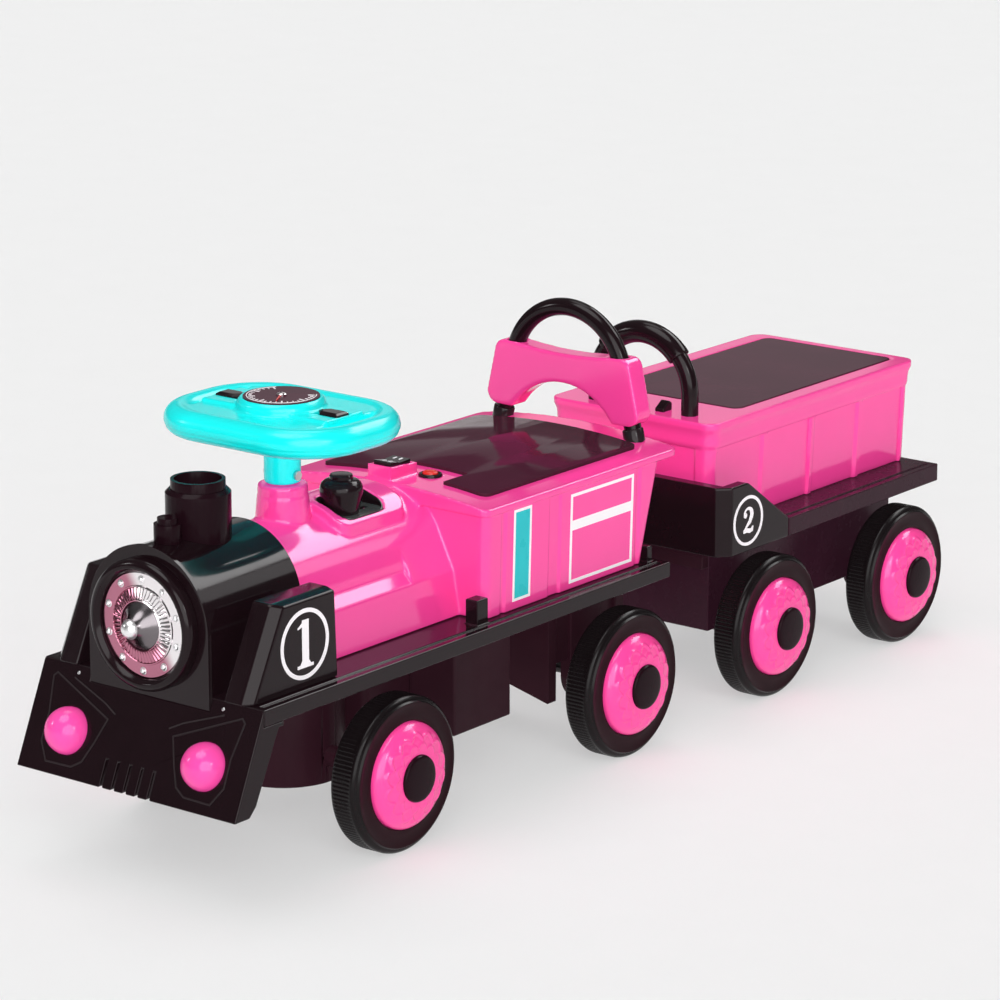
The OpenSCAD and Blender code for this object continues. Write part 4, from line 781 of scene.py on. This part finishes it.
ticks = []
for i in range(TICKS + 1):
    a = math.radians(TICKS_FROM - TICKS_OVER * i / TICKS)
    inner, width = (22, 1.3) if i % 4 == 0 else (24.5, 0.7)
    ends = [(r * math.cos(a), r * math.sin(a)) for r in (inner, 27.5)]
    ticks.append(ribbon(ends, [width] * 2, on_dial))
ticks.append(ribbon(arc(0, 0, 29, -40, 220, 60), [0.8] * 61, on_dial))
piece("dial_ticks", join(*ticks), white, "steering")
needle = ribbon([(3, -5), (-11, 19)], [2.6, 0.7], on_dial, rise=0.9)
piece("dial_needle", needle, red, "steering")
boss = turned([(AXIS, 0), (4.4, 0), (4.4, 1.2), (3.4, 2), (AXIS, 2.3)], (0, 0, DIAL_Z - 0.3), "z", 32)
piece("dial_boss", boss, chrome, "steering")

# Buttons on the steering wheel, pointed towards the hub
for side_name, side in SIDES.items():
    tip = [(-13, 0), (-5, -8), (13, -8), (13, 8), (-5, 8)]
    crest = [(-9.5, 0), (-3.5, -5.6), (10.5, -5.6), (10.5, 5.6), (-3.5, 5.6)]
    rings = [[(side * (BUTTON_X + x), y, z) for x, y in outline]
             for outline, z in ((tip, BUTTON_LOW), (tip, BUTTON_TOP - 1.6), (crest, BUTTON_TOP))]
    bevel(piece("horn_look_" + side_name, to_mesh(*loft(rings)), black, "horn_" + side_name,
                ["horn_button_" + side_name]), 0.5)

# Headlamp: disc with rivets and a fluted ring, and a dark cone with a bright tip
LAMP_BACK = (0, -167.2, LAMP_Z)
FLUTES = 52
FLUTE_SHARE = 0.022
RIVETS = 10
RIVET_RING = 38.4


def flutes(angle, r, h):
    """Ridges that run outwards in the ring round the cone."""
    if 22 < r < 31.2:
        return r, h + FLUTE_SHARE * r * math.cos(FLUTES * angle)
    return r, h


rim_profile = [(20.4, 0.2), (43.5, 0.2), (43.9, 1), (43.9, 5.2), (43.2, 5.9), (41, 6.1), (36, 5.9)]
rim_profile += [(33.2, 6.0), (32.8, 7.0), (31.8, 7.2), (31.3, 6.6), (31, 6.6), (28, 7.2), (25, 7.8)]
rim_profile += [(21.8, 8.5), (21.2, 9.3), (20.4, 9.1), (20.4, 0.2)]
disc = turned(rim_profile, LAMP_BACK, "-y", 480, flutes)
rivet_profile = [(AXIS, 0), (3.3, 0), (3.3, 0.8), (2.8, 1.0)] + arc(0, 0.9, 2.5, 0, 89, 6)
rivets = []
for i in range(RIVETS):
    a = math.radians(360 / RIVETS * (i + 0.5))
    centre = (RIVET_RING * math.cos(a), LAMP_BACK[1] - 5.4, LAMP_Z + RIVET_RING * math.sin(a))
    rivets.append(turned(rivet_profile, centre, "-y", 24))
piece("lamp_disc", disc, chrome, "locomotive", ["headlamp_disc"])
piece("lamp_rivets", join(*rivets), bright_chrome, "locomotive")
cone = [(AXIS, 0.2), (20.2, 0.2), (20.2, 8.2), (19.6, 8.8), (16, 11.4), (12.8, 14.4), (10.4, 17.4)]
cone += [(9.2, 19.6), (8.6, 20.8), (AXIS, 20.8)]
piece("lamp_cone", turned(cone, LAMP_BACK, "-y", 96), dark_chrome, "locomotive")
tip = [(AXIS, 18), (8.0, 18), (8.4, 19.6)] + arc(0, 19, 8.4, 8, 89, 12)
piece("lamp_tip", turned(tip, LAMP_BACK, "-y", 48), bright_chrome, "locomotive")

# Boxes with the number, chamfered between their front and their side
NUMBER_OUT = 107
NUMBER_TOP = 238.2
boxes = []
for side in SIDES.values():
    rings = []
    for x, front_in, drop in ((80, 0, 0), (99, 0, 0), (NUMBER_OUT, 8, 2.5)):
        top = NUMBER_TOP - drop
        outline = [(front_in - 168, BODY_FLOOR), (-57, BODY_FLOOR), (-60, top), (front_in - 131, top)]
        rings.append([(side * x, y, z) for y, z in outline])
    boxes.append(to_mesh(*loft(rings)))
bevel(piece("number_look", join(*boxes), black, "locomotive", ["number_boxes"]), 2.2, 4, 15)

# Prints on both sides: windows, and a numeral in a ring
SMALL_LINE = 2.4
SMALL_FRONT = 176.8
SMALL_REAR = 201.3
SMALL_LOW = 170
SMALL_HIGH = 251.4
LARGE_LINE = 2.7
LARGE_FRONT = 257
LARGE_REAR = 348.5
LARGE_LOW = 168
LARGE_HIGH = 248.5
LARGE_BAR = 8.7
LARGE_BAR_Z = 219.9
NUMBER_ONE_AT = (-98.3, 199.5)
NUMBER_TWO_AT = (506.7, 174.2)
BOARD_OUT = 120
RING_STEPS = 96


def cab_side(z):
    """The cab wall's distance from the middle at a height."""
    return CAB_FOOT + (z - BODY_FLOOR) * CAB_SPREAD / (ROOF_UNDER + 1 - BODY_FLOOR)


def frame_line(y_from, y_to, z_from, z_to, width):
    """The middle line of a rectangular frame whose outside is given."""
    half = width / 2
    return rectangle(y_from + half, y_to - half, z_from + half, z_to - half)


def ring(r, width, place):
    """A raised ring on a surface."""
    last = 360 - 360 / RING_STEPS
    return ribbon(arc(0, 0, r, 0, last, RING_STEPS - 1), [width] * RING_STEPS, place, closed=True)


def numeral_one(place):
    """A one with a flag and a foot serif."""
    stem = ribbon([(0.8, -17), (0.8, 20.2)], [8, 8], place)
    foot = ribbon([(-9, -18.6), (10.4, -18.6)], [2.6, 2.6], place, rise=0.42)
    flare = ribbon([(0.8, -18.5), (0.8, -14)], [15, 8], place, rise=0.44)
    flag = ribbon([(-8.6, 13.8), (-3.4, 16.2), (1, 19)], [1.2, 2.8, 2.4], place, rise=0.46)
    return [stem, foot, flare, flag]


def numeral_two(place):
    """A two with a ball, a swelling bowl and a waved foot."""
    bowl = arc(-0.4, 5.4, 6.0, 165, -30, 16)
    widths = [1.8 + 3.0 * ease_step(i, 3, 13) for i in range(17)]
    slope = [(2.6, -1.6), (-2.6, -5.6), (-6.6, -9.6)]
    body = ribbon(bowl + slope, widths + [4.0, 2.2, 1.8], place)
    dot = [(x, 5.4) for x in (-7.0, -6.0, -4.6, -3.4, -2.4)]
    ball = ribbon(dot, [2.2, 4.4, 5.2, 4.4, 2.2], place, rise=0.42)
    wave = [(-7.4, -9.8), (-2.5, -9.0), (2.5, -10.2), (6.2, -9.6), (7.6, -6.4)]
    foot = ribbon(wave, [3.0, 4.0, 4.2, 3.4, 1.2], place, rise=0.44)
    return [body, ball, foot]


def prints(side_name, side):
    """The windows and the numbers of one side."""
    def on_cab(a, b, h):
        """A point of the cab's side."""
        return side * (cab_side(b) + h), a, b

    def on_number(a, b, h):
        """A point round the middle of the locomotive's number."""
        return side * (NUMBER_OUT + h), NUMBER_ONE_AT[0] + side * a, NUMBER_ONE_AT[1] + b

    def on_board(a, b, h):
        """A point round the middle of the trailer's number."""
        return side * (BOARD_OUT + h), NUMBER_TWO_AT[0] + side * a, NUMBER_TWO_AT[1] + b

    small = frame_line(SMALL_FRONT, SMALL_REAR, SMALL_LOW, SMALL_HIGH, SMALL_LINE)
    large = frame_line(LARGE_FRONT, LARGE_REAR, LARGE_LOW, LARGE_HIGH, LARGE_LINE)
    bar = [(LARGE_FRONT + LARGE_LINE / 2, LARGE_BAR_Z), (LARGE_REAR - LARGE_LINE / 2, LARGE_BAR_Z)]
    lines = [ribbon(small, [SMALL_LINE] * 4, on_cab, closed=True),
             ribbon(large, [LARGE_LINE] * 4, on_cab, closed=True),
             ribbon(bar, [LARGE_BAR] * 2, on_cab, rise=0.42)]
    piece("window_lines_" + side_name, join(*lines), white, "locomotive")
    glass_z = (SMALL_LOW + SMALL_HIGH) / 2
    glass_high = SMALL_HIGH - SMALL_LOW - 2 * SMALL_LINE
    glass = [(SMALL_FRONT + SMALL_LINE, glass_z), (SMALL_REAR - SMALL_LINE, glass_z)]
    glass_mesh = ribbon(glass, [glass_high] * 2, on_cab, rise=0.25)
    piece("window_glass_" + side_name, glass_mesh, teal, "locomotive")
    one = join(ring(27.8, 3.5, on_number), *numeral_one(on_number))
    piece("number_one_" + side_name, one, white, "locomotive")
    two = join(ring(22, 2.9, on_board), *numeral_two(on_board))
    piece("number_two_" + side_name, two, white, "trailer")


for side_name, side in SIDES.items():
    prints(side_name, side)

# Skirt: welts that frame the lamps, and screws near its top
SKIRT_TOP = (-163.2, 162)
SKIRT_SLOPE = 37 / 85
RAKE = math.atan(SKIRT_SLOPE)


def on_skirt(a, b, h):
    """A point of the raked face, by its X and its height."""
    y = SKIRT_TOP[0] - (SKIRT_TOP[1] - b) * SKIRT_SLOPE
    return a, y - h * math.cos(RAKE), b + h * math.sin(RAKE)


welts = []
screws = []
for side in SIDES.values():
    lower = [(36, 127.5), (101, 152.5), (104.5, 149.5), (99.5, 122), (100, 100)]
    lower += [(90, 86), (62, 86.5), (52, 92), (44, 108)]
    welts.append(ribbon([(side * x, z) for x, z in lower], [1.6] * 9, on_skirt, rise=0.5, closed=True))
    upper = [(82, 152), (78.5, 150.7), (42.6, 138.8), (29.5, 132.5)]
    welts.append(ribbon([(side * x, z) for x, z in upper], [1.3] * 4, on_skirt, rise=0.45))
    head_profile = [(AXIS, -1), (1.5, -1), (1.5, 0.4), (1.1, 0.7), (AXIS, 0.8)]
    head = turned(head_profile, (0, -FRONT_AXLE, 0), "-y", 20)
    spot = Matrix.Translation(at(*on_skirt(side * 79, 156, 0)))
    head.transform(spot @ Matrix.Rotation(-RAKE, 4, "X"))
    screws.append(head)
piece("skirt_welts", join(*welts), black, "locomotive")
piece("skirt_screws", join(*screws), steel, "locomotive")

# Controls on the roof and the pad
KNOB_Y = 49
ROCKER_LOW = 1.5
ROCKER_RISE = 1.5
ROCKER_HALF = 13
push_profile = [(AXIS, 245), (6.9, 245), (6.9, 271.8), (6.5, 272.8), (5.2, 273.6), (3, 274.1), (AXIS, 274.2)]
push_mesh = turned(push_profile, PUSH, "z", 64)
piece("push_look", push_mesh, red, "push_button", ["push_button"])
# Black ring that fills the bore round the button; its black is painted shadow round the button
shadow_ring_profile = [(7.2, 262), (10.4, 262), (10.4, 270.6), (9.9, 271.5), (8.6, 272), (7.6, 271.7), (7.2, 271)]
shadow_ring_profile += [(7.2, 262)]
piece("push_shadow_ring", turned(shadow_ring_profile, PUSH, "z", 64), black, "locomotive")
knob = [(AXIS, 263.4), (14.6, 263.4), (15.4, 266), (16.6, 272), (17.8, 278), (18.4, 282.5), (18.2, 286)]
knob += [(16.8, 289.2), (13.8, 291.6), (10.4, 292.5), (9.9, 293.1), (9.9, 295.4), (9.1, 296.5), (6.4, 296.9)]
knob += [(AXIS, 297)]
stem = along_z(rectangle(KNOB_X - 4, KNOB_X + 4, KNOB_Y - 6, KNOB_Y + 6), 246, 264)
knob_mesh = join(turned(knob, (KNOB_X, KNOB_Y, 0), "z", 72), stem)
piece("knob_look", knob_mesh, black, "shift_lever", ["shift_lever"])


def lining(outline, inner, low, top, floor):
    """A cup that lines a hole, with a rim that follows top(x)."""
    rings = [[(x, y, low) for x, y in outline], [(x, y, top(x)) for x, y in outline],
             [(x, y, top(x)) for x, y in inner], [(x, y, floor) for x, y in inner]]
    return to_mesh(*loft(rings))


def pad_rim(x):
    """A little under the saddle pad's surface."""
    return BOILER_Z + math.sqrt((BOILER_R + PAD_HIGH) ** 2 - x * x) - 0.8


def slot_rim(x):
    """A little over the recess's floor."""
    return 260.6


cup = lining(round_knob(18.8, 30.2, 87.8, 11.8), round_knob(18, 31, 87, 11), 259.7, pad_rim, 260.1)
slot_outline = round_knob(4.9, 34.1, 83.9, 0.4, 2)
slot_inner = round_knob(4.5, 34.5, 83.5, 0.3, 2)
slot_cup = lining(slot_outline, slot_inner, 243, slot_rim, 244)
cup = boolean(cup, [along_z(rectangle(17.4, 26.6, 34.4, 83.6), 255, 261)], "DIFFERENCE")
piece("recess_cup", join(cup, slot_cup), black, "locomotive")


def on_rocker(a, b, h):
    """A point of the rocker's hollow top, before it is put on the wedge."""
    return a, b - FRONT_AXLE, ROCKER_LOW + ROCKER_RISE * abs(b) / ROCKER_HALF + h


marks = []
for along in (-8.5, 5.5):
    for across in (-3.2, 3.2):
        mark = ribbon([(across, along), (across, along + 4.5)], [1.6, 1.6], on_rocker)
        mark.transform(rocker_frame)
        marks.append(mark)
piece("rocker_marks", join(*marks), white, "rocker")

# Under side: dark blocks put where there is shade under the deck, as painted shade: a keel between the
# steering drum and the battery box, and liners inside the rear wheels
SHADE_KEEL_HALF = 42
SHADE_LINER_TOP = 147.4
SHADE_LINER_IN = 70
SHADE_LINER_OUT = 74
# Painted shade: a dark block that fills the view under the deck
shade_keel = along_z(round_rect(SHADE_KEEL_HALF, 55, 119, 8), 66, 147)
bevel(piece("shade_keel_look", shade_keel, under_black, "locomotive"), 3)
for side_name, side in SIDES.items():
    # Painted shade: dark sheets inside the rear wheels
    outline = [(266, SHADE_LINER_TOP), (266, 100), (276, 84), (358, 84), (368, 100), (368, SHADE_LINER_TOP)]
    shade_liner = along_x(outline, side * SHADE_LINER_IN, side * SHADE_LINER_OUT)
    bevel(piece("shade_liner_" + side_name, shade_liner, under_black, "locomotive"), 1.2)

# CAD nodes that stay, with their finish and the width of their rounded edges
for node, mat, width in (
        ("chassis_deck", black, 1.2), ("underframe", under_black, 1.5), ("battery_box", under_black, 2.0),
        ("front_yoke", under_black, 1.0), ("smokebox", barrel_black, 1.1), ("backrest_tube", black, None),
        ("front_skirt", black, 1.6), ("headlamp_bezel", black, 0.8), ("chimney", cap_black, 1.0),
        ("shift_gate", gate_painted_sheen, None), ("seat_panel", panel, 0.8), ("rear_axle", dark_steel, None),
        ("hitch_pin", dark_steel, None), ("steering_badge", panel, 0.6), ("steering_rod", steel, None),
        ("socket_bolt", steel, 0.5), ("front_axle", dark_steel, None), ("trailer_axles", dark_steel, None),
        ("trailer_chassis", trailer_black, 1.2), ("trailer_front_board", black, 2.2),
        ("trailer_handle", black, None), ("trailer_grip", black, 1.0), ("trailer_drawbar", under_black, 1.2),
        ("front_lamps", lamp_pink, None), ("rocker_switch", black, 0.8)):
    dress(node, mat, width)
# The barrel's shading follows its large faces, so that its band of light runs straight
nodes["smokebox"].modifiers.new("normals", "WEIGHTED_NORMAL")


# Floor, light and camera, in metres
LAMP_FAR = 4
LAMP_AIM = (0, 0, 0.2)
FLOOR_HALF = 30
WORLD_LOW = 0.09
WORLD_HIGH = 0.19


def lamp_at(name, kind, source, **settings):
    """A lamp that shines from a direction onto the part."""
    data = bpy.data.lights.new(name, kind)
    for key, value in settings.items():
        setattr(data, key, value)
    obj = bpy.data.objects.new(name, data)
    way = Vector(source).normalized()
    obj.location = way * LAMP_FAR + Vector(LAMP_AIM)
    obj.rotation_euler = way.to_track_quat("Z", "Y").to_euler()
    bpy.context.collection.objects.link(obj)
    return obj


def softbox(name, source, width, height, radiance):
    """A bright panel that shows in glossy surfaces and leaves the level of light as it is."""
    obj = lamp_at(name, "AREA", source, shape="RECTANGLE", size=width, size_y=height,
                  energy=radiance * math.pi * width * height)
    obj.visible_diffuse = False


def sun(name, source, energy, degrees, **settings):
    """Even light from a direction, from a disc of the sky that is so many degrees wide."""
    return lamp_at(name, "SUN", source, energy=energy, angle=math.radians(degrees), **settings)


def floor():
    """A plain pale floor."""
    mesh = bpy.data.meshes.new("floor")
    corners = rectangle(-FLOOR_HALF, FLOOR_HALF, -FLOOR_HALF, FLOOR_HALF)
    mesh.from_pydata([(x, y, 0) for x, y in corners], [], [(0, 1, 2, 3)])
    obj = bpy.data.objects.new("floor", mesh)
    bpy.context.collection.objects.link(obj)
    mesh.materials.append(material("floor_paint", FLOOR, 0.9, vary=0.004, grain=0.0, specular=0.0))


def sky():
    """A white world that is brighter above."""
    world = bpy.data.worlds.new("studio")
    bpy.context.scene.world = world
    world.use_nodes = True
    tree = world.node_tree
    coord = tree.nodes.new("ShaderNodeTexCoord")
    split = tree.nodes.new("ShaderNodeSeparateXYZ")
    tree.links.new(coord.outputs["Generated"], split.inputs["Vector"])
    level = tree.nodes.new("ShaderNodeMapRange")
    level.inputs["To Min"].default_value = WORLD_LOW
    level.inputs["To Max"].default_value = WORLD_HIGH
    tree.links.new(split.outputs["Z"], level.inputs["Value"])
    tree.links.new(level.outputs["Result"], tree.nodes["Background"].inputs["Strength"])
    tree.nodes["Background"].inputs["Color"].default_value = (1, 1, 1, 1)


def lamps():
    """Soft light from all round, of which the key alone casts a shadow, and panels that show in the gloss."""
    sun("key", (-0.32, 0.30, 0.90), 0.28, 25)
    sun("top", (-0.10, -0.30, 0.95), 1.36, 40, use_shadow=False)
    back = sun("back", (-0.70, 0.65, 0.28), 1.60, 8, use_shadow=False)
    back.visible_glossy = False
    sun("fill", (0.68, -0.68, 0.27), 2.60, 60, use_shadow=False)
    softbox("box_back", (0.185, 0.675, 0.714), 3.16, 1.3, 6.5)
    softbox("box_right", (0.60, 0.66, 0.45), 0.9, 0.9, 1.8)
    softbox("box_left", (-0.58, 0.76, 0.30), 1.3, 1.2, 0.5)
    softbox("box_front", (-0.74, -0.58, 0.36), 0.35, 0.6, 14)
    softbox("box_near", (0.85, -0.35, 0.45), 0.6, 0.6, 9)


def camera():
    """The camera of the photograph."""
    data = bpy.data.cameras.new("camera")
    data.lens = CAMERA_LENS
    data.sensor_width = CAMERA_SENSOR
    data.clip_end = CAMERA_REACH
    obj = bpy.data.objects.new("camera", data)
    obj.location = CAMERA_AT
    obj.rotation_euler = (math.radians(90 - CAMERA_ELEVATION), 0, math.radians(CAMERA_AZIMUTH))
    bpy.context.collection.objects.link(obj)
    bpy.context.scene.camera = obj


floor()
sky()
lamps()
camera()
bpy.context.scene.view_settings.view_transform = "Standard"
